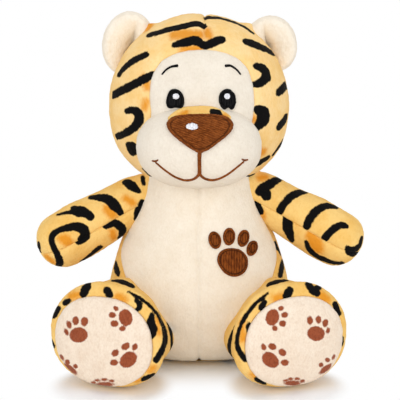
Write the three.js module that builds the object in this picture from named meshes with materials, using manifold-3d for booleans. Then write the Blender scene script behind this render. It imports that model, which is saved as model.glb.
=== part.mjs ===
// A seated plush leopard, about 23 cm tall: sewn plush panels over stuffing. The head, arms, legs, ears
// and tail flex at the seams that join them to the body. Millimetres, +Z up, and the toy faces -Y,
// so its own left is +X. The origin is the middle of the seat, on the surface that the toy sits on.
import * as THREE from "three";
import { mergeVertices } from "three/addons/utils/BufferGeometryUtils.js";
import Module from "manifold-3d";

const wasm = await Module();
wasm.setup();

// Cloth and clearances
const CLOTH = 1.6;
const GAP = 0.35;
const SLIDE_GAP = 0.6;
const CHIN_GAP = 2.5;

// Body, a pear: its half width and half depth at five heights, and a round neck on top
const SEAT = { side: 41, depth: 33, height: 0 };
const HAUNCH = { side: 55, depth: 45, height: 12 };
const BELLY = { side: 60.5, depth: 50, height: 42 };
const WAIST = { side: 53, depth: 46, height: 72 };
const CHEST = { side: 43, depth: 41, height: 98 };
const NECK_RADIUS = 38;
const NECK_HEIGHT = 118;
const COLLAR_RISE = 10;
const SIDE_SEAM_FORWARD = 16;
const SEAT_PANEL_MARGIN = 6;
const PELLET_BAG_HEIGHT = 18;
const NECK_PLUG_DEPTH = 14;

// Head, an egg-shaped ball that sits over the neck, and the muzzle sewn into its front
const HEAD_SIDE = 59;
const HEAD_DEPTH = 52;
const HEAD_UP = 59;
const HEAD_OVER_NECK = 48.5;
const MUZZLE_SIDE = 39;
const MUZZLE_DEPTH = 27;
const MUZZLE_UP = 26;
const MUZZLE_DROP = 22;
const MUZZLE_FORWARD = 45;

// Face, as outlines seen from the front, with heights above the middle of the head
const FACE_SIDE = 33;
const FACE_TOP = 39;
const FACE_BELOW = 12;
const FACE_WIDEST = 8;
const BRIDGE_SIDE = 21;
const BRIDGE_UP = 12;
const NOSE_SIDE = 19.5;
const NOSE_TOP_BELOW = 2.5;
const NOSE_TIP_BELOW = 22;
const EYE_SIDE = 5.4;
const EYE_UP = 6.4;
const EYE_APART = 16;
const EYE_HEIGHT = 8.5;
const BROW_APART = 18.5;
const BROW_HEIGHT = 27.5;
const BROW_LENGTH = 10.5;
const BROW_RISE = 5;
const BROW_WIDTH = 1.5;
const MOUTH_WIDTH = 1.5;
const MOUTH_DROP = 12;
const SMILE_REACH = 29;
const SMILE_SAG = 5;
const SMILE_RISE = 7;
const STITCH_RAISE = 0.9;
const NOSE_RAISE = 1.6;

// Ears
const EAR_SIDE = 19.5;
const EAR_UP = 22.3;
const EAR_THICK = 5.5;
const EAR_LEAN = 50;
const EAR_BACK = 4;
const EAR_FOLD = 15;

// Arms
const SHOULDER_HEIGHT = 100;
const SHOULDER_FORWARD = 3;
const SHOULDER_STANDOFF = 11;
const SHOULDER_LENGTH = 8;
const ARM_SWELL = 1.4;
const SHOULDER_RADIUS = 16.5;
const PAW_RADIUS = 18.5;
const ARM_LENGTH = 41;
const ARM_DROOP = 26;
const ARM_FORWARD = 19;

// Legs
const HIP_ANGLE = 47.5;
const HIP_STANDOFF = 10;
const HIP_RADIUS = 28.5;
const FOOT_RADIUS = 33.5;
const FOOT_WIDEN = 0.1;
const FOOT_FLAT = 1.7;
const FOOT_TURN = 20;
const ANKLE_RADIUS = 30;
const ANKLE_AT = 27;
const FOOT_LENGTH = 17;
const SOLE_RADIUS = 29.5;
const SOLE_DOME = 7.5;

// Tail
const TAIL_RADIUS = 8.5;
const TAIL_HEIGHT = 19;
const TAIL_STANDOFF = 5;
const TAIL_REACH_BACK = 24;
const TAIL_REACH_SIDE = 46;

// Embroidered paw on the chest, its middle to the left of the centre seam
const CHEST_PAW_SIDE = 21;
const CHEST_PAW_HEIGHT = 69.5;
const PAD_SIDE = 10;
const PAD_UP = 9.3;
const TOE_SIDE = 4;
const TOE_UP = 5.4;
const TOE_SPREAD = 16.8;

// Facets of the round forms
const AROUND_BODY = 22;
const AROUND_HEAD = 24;
const AROUND_LIMB = 14;
const BODY_RINGS = 8;
const BIG = 600;

const FINISH = {
  print: { color: 0xe9b45c, roughness: 0.95, metalness: 0 },
  cream: { color: 0xf3e4c8, roughness: 0.95, metalness: 0 },
  sole: { color: 0xf5e3cc, roughness: 0.95, metalness: 0 },
  brown: { color: 0x7a3f1c, roughness: 0.7, metalness: 0 },
  black: { color: 0x17151a, roughness: 0.6, metalness: 0 },
  stuffing: { color: 0xf4f2ee, roughness: 1, metalness: 0 },
  pellets: { color: 0xd8d4ca, roughness: 0.8, metalness: 0 },
};

// Solids and their joins

function solidOf(geometry) {
  const bare = geometry.clone();
  bare.deleteAttribute("normal");
  bare.deleteAttribute("uv");
  const merged = mergeVertices(bare, 1e-4);
  const corners = merged.index.array;
  const triVerts = [];
  for (let i = 0; i < corners.length; i += 3) {
    const [a, b, c] = corners.slice(i, i + 3);
    if (a !== b && b !== c && c !== a) triVerts.push(a, b, c);
  }
  return new wasm.Manifold(
    new wasm.Mesh({
      numProp: 3,
      vertProperties: merged.attributes.position.array,
      triVerts: new Uint32Array(triVerts),
    }),
  );
}

function pieceOf(name, solid, finish) {
  const { vertProperties, triVerts } = solid.getMesh();
  const geometry = new THREE.BufferGeometry();
  geometry.setAttribute("position", new THREE.BufferAttribute(vertProperties, 3));
  geometry.setIndex(new THREE.BufferAttribute(triVerts, 1));
  geometry.computeVertexNormals();
  const mesh = new THREE.Mesh(geometry, new THREE.MeshStandardMaterial(FINISH[finish]));
  mesh.name = name;
  return mesh;
}

// All of space from one value to another along an axis
function slab(axis, from, to = BIG) {
  const low = Math.max(from, -BIG);
  const size = { x: 2 * BIG, y: 2 * BIG, z: 2 * BIG, [axis]: to - low };
  const box = new THREE.BoxGeometry(size.x, size.y, size.z);
  const middle = { x: 0, y: 0, z: 0, [axis]: (low + to) / 2 };
  return solidOf(box.translate(middle.x, middle.y, middle.z));
}

function ellipsoid(side, depth, up, around, centre = new THREE.Vector3()) {
  const ball = new THREE.SphereGeometry(1, around, Math.round(around * 0.55));
  ball.rotateX(Math.PI / 2).scale(side, depth, up);
  return ball.translate(centre.x, centre.y, centre.z);
}

// A ball whose flats, not its corners, lie on the radius, so that it clears a ball of that radius
function socket(radius, around, centre) {
  const clear = radius / Math.cos(Math.PI / around) ** 2;
  return solidOf(ellipsoid(clear, clear, clear, around, centre));
}

// A ball that turns freely inside a hollow of that radius with the same facets
function plug(radius, around) {
  const clear = radius * Math.cos(Math.PI / around) ** 2;
  return solidOf(ellipsoid(clear, clear, clear, around));
}

// A front outline, drawn in X and Z, run from the middle of the toy forwards
function prism(shape, curveSegments = 8) {
  const bar = new THREE.ExtrudeGeometry(shape, { depth: BIG, bevelEnabled: false, curveSegments });
  return solidOf(bar.rotateX(Math.PI / 2));
}

function oval(x, z, side, up, turn = 0) {
  return new THREE.Shape().absellipse(x, z, side, up, 0, 2 * Math.PI, false, turn);
}

// A line of thread as an outline: a curve with an even width on both sides of it
function strip(curve, width, steps) {
  const left = [];
  const right = [];
  for (let i = 0; i <= steps; i++) {
    const point = curve.getPoint(i / steps);
    const along = curve.getTangent(i / steps);
    const across = new THREE.Vector2(-along.y, along.x).multiplyScalar(width / 2);
    left.push(point.clone().add(across));
    right.unshift(point.clone().sub(across));
  }
  return new THREE.Shape([...left, ...right]);
}

// A skin over rings of points, closed by a flat lid at each end
function loft(rings) {
  const count = rings[0].length;
  const middle = (ring) => ring.reduce((sum, p) => sum.add(p), new THREE.Vector3()).divideScalar(count);
  const points = [...rings.flat(), middle(rings[0]), middle(rings.at(-1))];
  const bottom = points.length - 2;
  const top = points.length - 1;
  const index = [];
  for (let i = 0; i < count; i++) {
    const next = (i + 1) % count;
    for (let r = 0; r + 1 < rings.length; r++) {
      const low = r * count;
      const high = low + count;
      index.push(low + i, low + next, high + next, low + i, high + next, high + i);
    }
    const last = (rings.length - 1) * count;
    index.push(bottom, next, i, top, last + i, last + next);
  }
  return new THREE.BufferGeometry().setFromPoints(points).setIndex(index);
}

// Forms. Each takes an inset, so that one form gives a skin's outside, its inside and its stuffing.

const bodyOutline = new THREE.CatmullRomCurve3(
  [
    SEAT,
    HAUNCH,
    BELLY,
    WAIST,
    CHEST,
    { side: NECK_RADIUS, depth: NECK_RADIUS, height: NECK_HEIGHT },
  ].map(({ side, depth, height }) => new THREE.Vector3(side, depth, height)),
);
const collarRadius = Math.sqrt(NECK_RADIUS ** 2 - COLLAR_RISE ** 2);
const collarTop = NECK_HEIGHT + COLLAR_RISE;

function bodyRing(side, depth, height) {
  return Array.from({ length: AROUND_BODY }, (_, i) => {
    const angle = (2 * Math.PI * i) / AROUND_BODY;
    return new THREE.Vector3(side * Math.cos(angle), depth * Math.sin(angle), height);
  });
}

function bodyForm(inset, top = collarTop) {
  const rings = [];
  for (let i = 0; i <= BODY_RINGS; i++) {
    const { x: side, y: depth, z: height } = bodyOutline.getPoint(i / BODY_RINGS);
    rings.push(bodyRing(side - inset, depth - inset, i === 0 ? inset : Math.max(height, inset + i * GAP)));
  }
  rings.push(bodyRing(collarRadius - inset, collarRadius - inset, collarTop));
  if (top > collarTop) rings.push(bodyRing(collarRadius - inset, collarRadius - inset, top));
  return loft(rings);
}

// The body's half width and half depth at a height
function bodyAt(height) {
  let low = 0;
  let high = 1;
  while (high - low > 1e-6) {
    const middle = (low + high) / 2;
    if (bodyOutline.getPoint(middle).z < height) low = middle;
    else high = middle;
  }
  const { x: side, y: depth } = bodyOutline.getPoint(low);
  return { side, depth };
}

const headMiddle = new THREE.Vector3(0, 0, NECK_HEIGHT + HEAD_OVER_NECK);
const neckInHead = new THREE.Vector3(0, 0, -HEAD_OVER_NECK);
const muzzleMiddle = new THREE.Vector3(0, -MUZZLE_FORWARD, -MUZZLE_DROP);

function headForm(inset) {
  return ellipsoid(HEAD_SIDE - inset, HEAD_DEPTH - inset, HEAD_UP - inset, AROUND_HEAD);
}

function muzzleForm(inset) {
  const sizes = [MUZZLE_SIDE, MUZZLE_DEPTH, MUZZLE_UP].map((size) => size - inset);
  return ellipsoid(...sizes, AROUND_LIMB, muzzleMiddle);
}

// A patch of thread that lies on a form
function raised(form, thickness) {
  return solidOf(form(-GAP - thickness)).subtract(solidOf(form(-GAP)));
}

// A limb turned about +X from a profile of (radius, distance along) points
function turned(profile, around) {
  return new THREE.LatheGeometry(profile, around).rotateZ(-Math.PI / 2);
}

function arc(middle, radius, from, to, steps) {
  return Array.from({ length: steps + 1 }, (_, i) => {
    const angle = from + ((to - from) * i) / steps;
    const across = Math.abs(angle) === Math.PI / 2 ? 0 : radius * Math.cos(angle);
    return new THREE.Vector2(across, middle + radius * Math.sin(angle));
  });
}

function armForm(inset) {
  const shoulder = arc(0, SHOULDER_RADIUS - inset, -Math.PI / 2, 0, 4);
  const paw = arc(ARM_LENGTH, PAW_RADIUS - inset, 0, Math.PI / 2, 5);
  const swell = new THREE.Vector2((SHOULDER_RADIUS + PAW_RADIUS) / 2 + ARM_SWELL - inset, ARM_LENGTH * 0.55);
  const root = new THREE.Vector2(SHOULDER_RADIUS - inset, SHOULDER_LENGTH);
  return turned([...shoulder, root, swell, ...paw], AROUND_LIMB);
}

const footEnd = ANKLE_AT + FOOT_LENGTH;

function legForm(inset) {
  const hip = arc(0, HIP_RADIUS - inset, -Math.PI / 2, Math.PI / 10, 6);
  const outline = new THREE.SplineCurve([
    new THREE.Vector2(ANKLE_RADIUS - inset, ANKLE_AT),
    new THREE.Vector2(FOOT_RADIUS * 0.963 - inset, ANKLE_AT + FOOT_LENGTH * 0.3),
    new THREE.Vector2(FOOT_RADIUS - inset, ANKLE_AT + FOOT_LENGTH * 0.62),
    new THREE.Vector2(SOLE_RADIUS - inset, footEnd),
  ]).getPoints(4);
  const domeRadius = (SOLE_RADIUS ** 2 + SOLE_DOME ** 2) / (2 * SOLE_DOME);
  const edge = Math.acos(SOLE_RADIUS / domeRadius);
  const dome = arc(footEnd + SOLE_DOME - domeRadius, domeRadius - inset, edge, Math.PI / 2, 4).slice(1);
  const form = turned([...hip, ...outline, ...dome], AROUND_LIMB);
  const points = form.attributes.position;
  for (let i = 0; i < points.count; i++) {
    const widen = FOOT_WIDEN * THREE.MathUtils.smoothstep(points.getX(i), 0, ANKLE_AT + FOOT_LENGTH * 0.3);
    points.setY(i, points.getY(i) * (1 + widen));
  }
  return form;
}

// A round-ended tube along a curve
function tube(curve, radius, steps, sides) {
  const { normals, binormals, tangents } = curve.computeFrenetFrames(steps);
  const ring = (at, step, size) =>
    Array.from({ length: sides }, (_, i) => {
      const angle = (2 * Math.PI * i) / sides;
      return at
        .clone()
        .addScaledVector(normals[step], size * Math.cos(angle))
        .addScaledVector(binormals[step], size * Math.sin(angle));
    });
  const end = (step, at, sign) =>
    [15, 40, 65].map((degrees) => {
      const angle = THREE.MathUtils.degToRad(degrees);
      const out = at.clone().addScaledVector(tangents[step], sign * radius * Math.cos(angle));
      return ring(out, step, radius * Math.sin(angle));
    });
  const along = Array.from({ length: steps + 1 }, (_, i) => ring(curve.getPointAt(i / steps), i, radius));
  return loft([...end(0, curve.getPoint(0), -1), ...along, ...end(steps, curve.getPoint(1), 1).reverse()]);
}

// Cuts a piece clear of a neighbour at each turn of its joint. The neighbour is given in the piece's parent.
function clearOf(solid, group, neighbour, axis, turns) {
  return turns.reduce((left, degrees) => {
    const turn = new THREE.Quaternion().setFromAxisAngle(axis, THREE.MathUtils.degToRad(degrees));
    const place = new THREE.Matrix4().compose(
      group.position,
      turn.multiply(group.quaternion),
      new THREE.Vector3(1, 1, 1),
    );
    return left.subtract(solidOf(neighbour.clone().applyMatrix4(place.invert())));
  }, solid);
}

// The same pieces on the toy's left and, mirrored, on its right
function pairOf(build) {
  const pair = new THREE.Group();
  for (const side of ["left", "right"]) {
    const group = build(side);
    const mirror = new THREE.Group();
    mirror.scale.x = side === "left" ? 1 : -1;
    pair.add(mirror.add(group));
  }
  return pair;
}

// Where the limbs join the body, on the toy's left

const shoulder = new THREE.Vector3(
  bodyAt(SHOULDER_HEIGHT).side + SHOULDER_STANDOFF,
  -SHOULDER_FORWARD,
  SHOULDER_HEIGHT,
);
const armTurn = new THREE.Quaternion().setFromEuler(
  new THREE.Euler(0, THREE.MathUtils.degToRad(ARM_DROOP), -THREE.MathUtils.degToRad(ARM_FORWARD), "ZYX"),
);

const hipHeight = FOOT_RADIUS - FOOT_FLAT;
const hipOut = THREE.MathUtils.degToRad(HIP_ANGLE);
const hipSeam = bodyAt(hipHeight);
const hipDirection = new THREE.Vector3(Math.cos(hipOut), -Math.sin(hipOut), 0);
const hipReach =
  1 / Math.hypot(hipDirection.x / hipSeam.side, hipDirection.y / hipSeam.depth) + HIP_STANDOFF;
const hip = hipDirection.multiplyScalar(hipReach).setZ(hipHeight);

const tailRoot = new THREE.Vector3(0, bodyAt(TAIL_HEIGHT).depth + TAIL_STANDOFF, TAIL_HEIGHT);
const tailFloor = TAIL_RADIUS + GAP;
const tailPath = new THREE.CatmullRomCurve3([
  new THREE.Vector3(0, 0, 0),
  new THREE.Vector3(TAIL_REACH_SIDE * 0.1, TAIL_REACH_BACK * 0.55, (tailFloor - TAIL_HEIGHT) * 0.7),
  new THREE.Vector3(TAIL_REACH_SIDE * 0.42, TAIL_REACH_BACK, tailFloor - TAIL_HEIGHT),
  new THREE.Vector3(TAIL_REACH_SIDE * 0.8, TAIL_REACH_BACK * 0.8, tailFloor - TAIL_HEIGHT),
  new THREE.Vector3(TAIL_REACH_SIDE, TAIL_REACH_BACK * 0.35, tailFloor - TAIL_HEIGHT),
]);

// Body: two belly panels with a centre seam, two back panels and a seat panel, over stuffing and pellets

function sockets(gap) {
  const mirrored = (point) => new THREE.Vector3(-point.x, point.y, point.z);
  const holes = [
    [SHOULDER_RADIUS, shoulder],
    [SHOULDER_RADIUS, mirrored(shoulder)],
    [HIP_RADIUS, hip],
    [HIP_RADIUS, mirrored(hip)],
    [TAIL_RADIUS, tailRoot],
  ];
  const balls = holes.map(([radius, centre]) => socket(radius + gap, AROUND_LIMB, centre));
  return balls.reduce((all, ball) => all.add(ball));
}

function seatOutline(margin) {
  const side = SEAT.side - SEAT_PANEL_MARGIN - margin;
  const depth = SEAT.depth - SEAT_PANEL_MARGIN - margin;
  const outline = ellipsoid(side, depth, PELLET_BAG_HEIGHT / 2, AROUND_BODY);
  return solidOf(outline);
}

function bodyPanels() {
  const skin = solidOf(bodyForm(0))
    .subtract(solidOf(bodyForm(CLOTH, collarTop + CLOTH)))
    .subtract(sockets(SLIDE_GAP));
  const walls = skin.subtract(seatOutline(0));
  const front = slab("y", -BIG, -SIDE_SEAM_FORWARD);
  const back = slab("y", -SIDE_SEAM_FORWARD + GAP);
  const left = slab("x", GAP / 2);
  const right = slab("x", -BIG, -GAP / 2);
  return [
    pieceOf("belly_panel_left", walls.intersect(front).intersect(left), "cream"),
    pieceOf("belly_panel_right", walls.intersect(front).intersect(right), "cream"),
    pieceOf("back_panel_left", walls.intersect(back).intersect(left), "print"),
    pieceOf("back_panel_right", walls.intersect(back).intersect(right), "print"),
    pieceOf("seat_panel", skin.intersect(seatOutline(GAP)), "print"),
  ];
}

function bodyFilling() {
  const inside = solidOf(bodyForm(CLOTH + GAP)).subtract(sockets(SLIDE_GAP));
  const plugBottom = NECK_HEIGHT - NECK_PLUG_DEPTH;
  const stuffing = inside.intersect(slab("z", PELLET_BAG_HEIGHT + GAP, plugBottom - GAP));
  const pellets = inside.intersect(slab("z", -BIG, PELLET_BAG_HEIGHT));
  return [pieceOf("body_stuffing", stuffing, "stuffing"), pieceOf("pellet_bag", pellets, "pellets")];
}

// A plug of stuffing in the neck: it turns in the collar, and the head nods on its domed top
function neckStuffing() {
  const plugRadius = collarRadius - CLOTH - SLIDE_GAP;
  const shelf = COLLAR_RISE + GAP;
  const start = Math.asin(shelf / NECK_RADIUS);
  const profile = [
    new THREE.Vector2(0, -NECK_PLUG_DEPTH),
    new THREE.Vector2(plugRadius, -NECK_PLUG_DEPTH),
    new THREE.Vector2(plugRadius, shelf),
    ...arc(0, NECK_RADIUS, start, Math.PI / 2, 7),
  ];
  const plug = new THREE.LatheGeometry(profile, AROUND_BODY).rotateX(Math.PI / 2);
  return pieceOf("neck_stuffing", solidOf(plug.translate(0, 0, NECK_HEIGHT)), "stuffing");
}

function chestPaw() {
  const thread = raised(bodyForm, STITCH_RAISE);
  const patch = (name, shape) => pieceOf(name, thread.intersect(prism(shape, 7)), "brown");
  const toes = [128, 98, 66, 33].map((degrees, i) => {
    const angle = THREE.MathUtils.degToRad(degrees);
    const x = CHEST_PAW_SIDE + TOE_SPREAD * Math.cos(angle);
    const z = CHEST_PAW_HEIGHT + TOE_SPREAD * Math.sin(angle);
    return patch(`chest_paw_toe_${i + 1}`, oval(x, z, TOE_SIDE, TOE_UP, (angle - Math.PI / 2) * 0.4));
  });
  return [patch("chest_paw_pad", oval(CHEST_PAW_SIDE, CHEST_PAW_HEIGHT, PAD_SIDE, PAD_UP)), ...toes];
}

// Head: two crown panels with a centre seam, a face panel and a muzzle in three panels

function faceOutline(margin) {
  const side = FACE_SIDE + margin;
  const top = FACE_TOP + margin;
  const shape = new THREE.Shape();
  shape.moveTo(-side * 0.8, -FACE_BELOW);
  shape.quadraticCurveTo(-side, -FACE_BELOW / 2, -side, FACE_WIDEST);
  shape.bezierCurveTo(-side, top * 0.72, -side * 0.55, top, 0, top);
  shape.bezierCurveTo(side * 0.55, top, side, top * 0.72, side, FACE_WIDEST);
  shape.quadraticCurveTo(side, -FACE_BELOW / 2, side * 0.8, -FACE_BELOW);
  return shape;
}

function headPanels() {
  const neck = socket(NECK_RADIUS + SLIDE_GAP, AROUND_BODY, neckInHead);
  const skin = solidOf(headForm(0)).subtract(solidOf(headForm(CLOTH))).subtract(neck);
  const open = skin.subtract(solidOf(muzzleForm(CLOTH)));
  const crown = open.subtract(prism(faceOutline(GAP)));
  return [
    pieceOf("crown_panel_left", crown.intersect(slab("x", GAP / 2)), "print"),
    pieceOf("crown_panel_right", crown.intersect(slab("x", -BIG, -GAP / 2)), "print"),
    pieceOf("face_panel", open.intersect(prism(faceOutline(0))), "cream"),
  ];
}

function muzzlePanels() {
  const skin = solidOf(muzzleForm(0))
    .subtract(solidOf(muzzleForm(CLOTH)))
    .subtract(solidOf(headForm(-GAP)))
    .subtract(socket(NECK_RADIUS + CHIN_GAP, AROUND_BODY, neckInHead));
  const bridgeMiddle = -NOSE_TOP_BELOW - BRIDGE_UP / 2;
  const bridge = (margin) => prism(oval(0, bridgeMiddle, BRIDGE_SIDE + margin, BRIDGE_UP + margin));
  const cheeks = skin.subtract(bridge(GAP));
  return [
    pieceOf("muzzle_bridge_panel", skin.intersect(bridge(0)), "print"),
    pieceOf("muzzle_panel_left", cheeks.intersect(slab("x", GAP / 2)), "cream"),
    pieceOf("muzzle_panel_right", cheeks.intersect(slab("x", -BIG, -GAP / 2)), "cream"),
  ];
}

function headFilling() {
  const inset = CLOTH + GAP;
  const neck = socket(NECK_RADIUS + SLIDE_GAP, AROUND_BODY, neckInHead);
  const chin = socket(NECK_RADIUS + CHIN_GAP, AROUND_BODY, neckInHead);
  const muzzle = solidOf(muzzleForm(inset)).subtract(chin);
  const stuffing = solidOf(headForm(inset)).add(muzzle).subtract(neck);
  return [pieceOf("head_stuffing", stuffing, "stuffing")];
}

function noseOutline() {
  const shape = new THREE.Shape();
  const top = -NOSE_TOP_BELOW;
  const tip = -NOSE_TIP_BELOW;
  const height = top - tip;
  shape.moveTo(0, tip);
  const cornerHeight = top - height * 0.28;
  const flankHeight = tip + height * 0.42;
  const tipHeight = tip + height * 0.1;
  const tipSide = NOSE_SIDE * 0.36;
  shape.bezierCurveTo(tipSide, tipHeight, NOSE_SIDE, flankHeight, NOSE_SIDE, cornerHeight);
  shape.bezierCurveTo(NOSE_SIDE, top, NOSE_SIDE * 0.6, top, 0, top);
  shape.bezierCurveTo(-NOSE_SIDE * 0.6, top, -NOSE_SIDE, top, -NOSE_SIDE, cornerHeight);
  shape.bezierCurveTo(-NOSE_SIDE, flankHeight, -tipSide, tipHeight, 0, tip);
  return shape;
}

function mouthSolid() {
  const top = -NOSE_TIP_BELOW - GAP;
  const low = -NOSE_TIP_BELOW - MOUTH_DROP;
  const point = (x, z) => new THREE.Vector2(x, z);
  const line = strip(new THREE.LineCurve(point(0, top), point(0, low)), MOUTH_WIDTH * 1.6, 1);
  const smile = new THREE.SplineCurve(
    [-1, -0.75, -0.4, 0, 0.4, 0.75, 1].map((share) => {
      const sag = Math.max(1 - (2 * Math.abs(Math.abs(share) - 0.45)) / 1.1, 0) * Math.abs(share);
      return point(share * SMILE_REACH, low + SMILE_RISE * share ** 4 - SMILE_SAG * sag);
    }),
  );
  return prism(line).add(prism(strip(smile, MOUTH_WIDTH, 16)));
}

function stitchedFace() {
  const onHead = raised(headForm, STITCH_RAISE).subtract(solidOf(muzzleForm(-2 * GAP)));
  const onMuzzle = raised(muzzleForm, STITCH_RAISE).subtract(solidOf(headForm(-2 * GAP)));
  const onNose = raised(muzzleForm, NOSE_RAISE).subtract(solidOf(headForm(-2 * GAP)));
  const brow = new THREE.QuadraticBezierCurve(
    new THREE.Vector2(BROW_APART - BROW_LENGTH / 2, BROW_HEIGHT + BROW_RISE / 2),
    new THREE.Vector2(BROW_APART + BROW_LENGTH * 0.15, BROW_HEIGHT + BROW_RISE * 0.7),
    new THREE.Vector2(BROW_APART + BROW_LENGTH / 2, BROW_HEIGHT - BROW_RISE / 2),
  );
  const eye = onHead.intersect(prism(oval(EYE_APART, EYE_HEIGHT, EYE_SIDE, EYE_UP)));
  const stitches = pairOf((side) => {
    const group = new THREE.Group();
    group.add(pieceOf(`eye_${side}`, eye, "black"));
    return group.add(pieceOf(`brow_${side}`, onHead.intersect(prism(strip(brow, BROW_WIDTH, 6))), "black"));
  });
  return [
    stitches,
    pieceOf("nose_patch", onNose.intersect(prism(noseOutline())), "brown"),
    pieceOf("mouth_stitching", onMuzzle.intersect(mouthSolid()), "brown"),
  ];
}

// Ears, each a cream front and a printed back, seamed round the edge and set on the head

function ear(side) {
  const group = new THREE.Group();
  const lean = THREE.MathUtils.degToRad(EAR_LEAN);
  const reach = 1 / Math.hypot(Math.sin(lean) / HEAD_SIDE, Math.cos(lean) / HEAD_UP);
  group.position.set(reach * Math.sin(lean), EAR_BACK, reach * Math.cos(lean));
  group.rotation.y = lean;
  const base = new THREE.Vector3(1, 0, 0).applyQuaternion(group.quaternion);
  const form = solidOf(ellipsoid(EAR_SIDE, EAR_THICK, EAR_UP, AROUND_LIMB));
  const folds = [-EAR_FOLD, -EAR_FOLD / 2, 0, EAR_FOLD / 2, EAR_FOLD];
  const seated = clearOf(form, group, headForm(-GAP), base, folds);
  group.add(pieceOf(`ear_front_${side}`, seated.intersect(slab("y", -BIG, -GAP / 2)), "cream"));
  return group.add(pieceOf(`ear_back_${side}`, seated.intersect(slab("y", GAP / 2)), "print"));
}

// Arms, each an upper and a lower panel over stuffing, with a wad of stuffing in the shoulder

function arm(side) {
  const group = new THREE.Group();
  group.position.copy(shoulder);
  group.quaternion.copy(armTurn);
  const skin = solidOf(armForm(0)).subtract(solidOf(armForm(CLOTH)));
  const wadRadius = SHOULDER_RADIUS - CLOTH - GAP;
  const filled = slab("x", wadRadius * 0.6);
  const roomForWad = socket(wadRadius + GAP, AROUND_LIMB);
  const stuffing = solidOf(armForm(CLOTH + GAP)).intersect(filled).subtract(roomForWad);
  group.add(pieceOf(`arm_upper_panel_${side}`, skin.intersect(slab("z", GAP / 2)), "print"));
  group.add(pieceOf(`arm_lower_panel_${side}`, skin.intersect(slab("z", -BIG, -GAP / 2)), "print"));
  group.add(pieceOf(`arm_stuffing_${side}`, stuffing, "stuffing"));
  return group.add(pieceOf(`shoulder_stuffing_${side}`, plug(wadRadius, AROUND_LIMB), "stuffing"));
}

// Legs, each a thigh panel, a band round the foot and a domed sole over stuffing

function leg(side) {
  const group = new THREE.Group();
  group.position.copy(hip);
  group.rotation.z = THREE.MathUtils.degToRad(FOOT_TURN - 90);
  const above = slab("z", -hipHeight);
  const inside = slab("z", CLOTH + GAP - hipHeight);
  const skin = solidOf(legForm(0)).subtract(solidOf(legForm(CLOTH)).intersect(slab("z", CLOTH - hipHeight)));
  const rested = skin.intersect(above);
  const wadRadius = HIP_RADIUS - CLOTH - GAP;
  const filled = slab("x", wadRadius * 0.5);
  const roomForWad = socket(wadRadius + GAP, AROUND_LIMB);
  const stuffing = solidOf(legForm(CLOTH + GAP)).intersect(filled).subtract(roomForWad);
  group.add(pieceOf(`thigh_panel_${side}`, rested.intersect(slab("x", -BIG, ANKLE_AT)), "print"));
  group.add(pieceOf(`foot_band_${side}`, rested.intersect(slab("x", ANKLE_AT + GAP, footEnd)), "print"));
  group.add(pieceOf(`sole_panel_${side}`, rested.intersect(slab("x", footEnd + GAP)), "sole"));
  group.add(pieceOf(`leg_stuffing_${side}`, stuffing.intersect(inside), "stuffing"));
  return group.add(pieceOf(`hip_stuffing_${side}`, plug(wadRadius, AROUND_LIMB), "stuffing"));
}

// Tail, a stuffed tube that lies curled behind the seat

function tail() {
  const group = new THREE.Group();
  group.position.copy(tailRoot);
  const form = (inset) => solidOf(tube(tailPath, TAIL_RADIUS - inset, 8, 8));
  const mouth = slab("y", -TAIL_RADIUS * 0.65);
  const skin = form(0).subtract(form(CLOTH)).intersect(mouth);
  group.add(pieceOf("tail_cover", skin, "print"));
  return group.add(pieceOf("tail_stuffing", form(CLOTH + GAP).intersect(mouth), "stuffing"));
}

const head = new THREE.Group();
head.position.copy(headMiddle);
head.add(...headPanels(), ...muzzlePanels(), ...headFilling(), ...stitchedFace(), pairOf(ear));

const leopard = new THREE.Group();
leopard.name = "plush_leopard";
leopard.add(...bodyPanels(), ...bodyFilling(), ...chestPaw(), neckStuffing());
leopard.add(head, pairOf(arm), pairOf(leg), tail());

export default leopard;
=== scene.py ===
# A seated plush leopard, sewn from printed and cream short-pile plush, with embroidered eyes, nose,
# mouth and chest paw. Sizes are in millimetres until a mesh is made, and +X is the toy's own left.
import math
import random

import bmesh
import bpy
import numpy as np
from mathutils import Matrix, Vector, noise
from mathutils.bvhtree import BVHTree


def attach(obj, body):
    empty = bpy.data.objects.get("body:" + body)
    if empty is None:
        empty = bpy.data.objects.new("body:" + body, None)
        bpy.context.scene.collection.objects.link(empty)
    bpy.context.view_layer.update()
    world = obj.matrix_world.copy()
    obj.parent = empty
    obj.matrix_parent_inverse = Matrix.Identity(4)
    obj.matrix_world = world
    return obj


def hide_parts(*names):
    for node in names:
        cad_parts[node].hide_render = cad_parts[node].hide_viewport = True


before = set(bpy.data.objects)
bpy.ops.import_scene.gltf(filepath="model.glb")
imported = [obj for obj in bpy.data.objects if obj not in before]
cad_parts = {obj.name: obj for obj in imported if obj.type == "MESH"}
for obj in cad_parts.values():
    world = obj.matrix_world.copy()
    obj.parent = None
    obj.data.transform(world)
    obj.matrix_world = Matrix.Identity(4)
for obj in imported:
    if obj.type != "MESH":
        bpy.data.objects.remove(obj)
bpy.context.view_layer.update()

# The camera stands 75 cm in front of the toy and a little above it, with a long lens, as the photograph
# was taken. A pixel of the photograph's 400 by 400 frame gives a line of sight into the scene.
FRAME_PIXELS = 400
LENS_PIXELS = 1119
SENSOR_WIDTH = 36
CAMERA_AWAY = 750
CAMERA_TILT = math.radians(11)
CAMERA_AIM = np.array((0.7, 0.0, 102.0))
CAMERA_AHEAD = np.array((0, math.cos(CAMERA_TILT), -math.sin(CAMERA_TILT)))
CAMERA_UP = np.array((0, math.sin(CAMERA_TILT), math.cos(CAMERA_TILT)))
CAMERA_SPOT = CAMERA_AIM - CAMERA_AWAY * CAMERA_AHEAD

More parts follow.
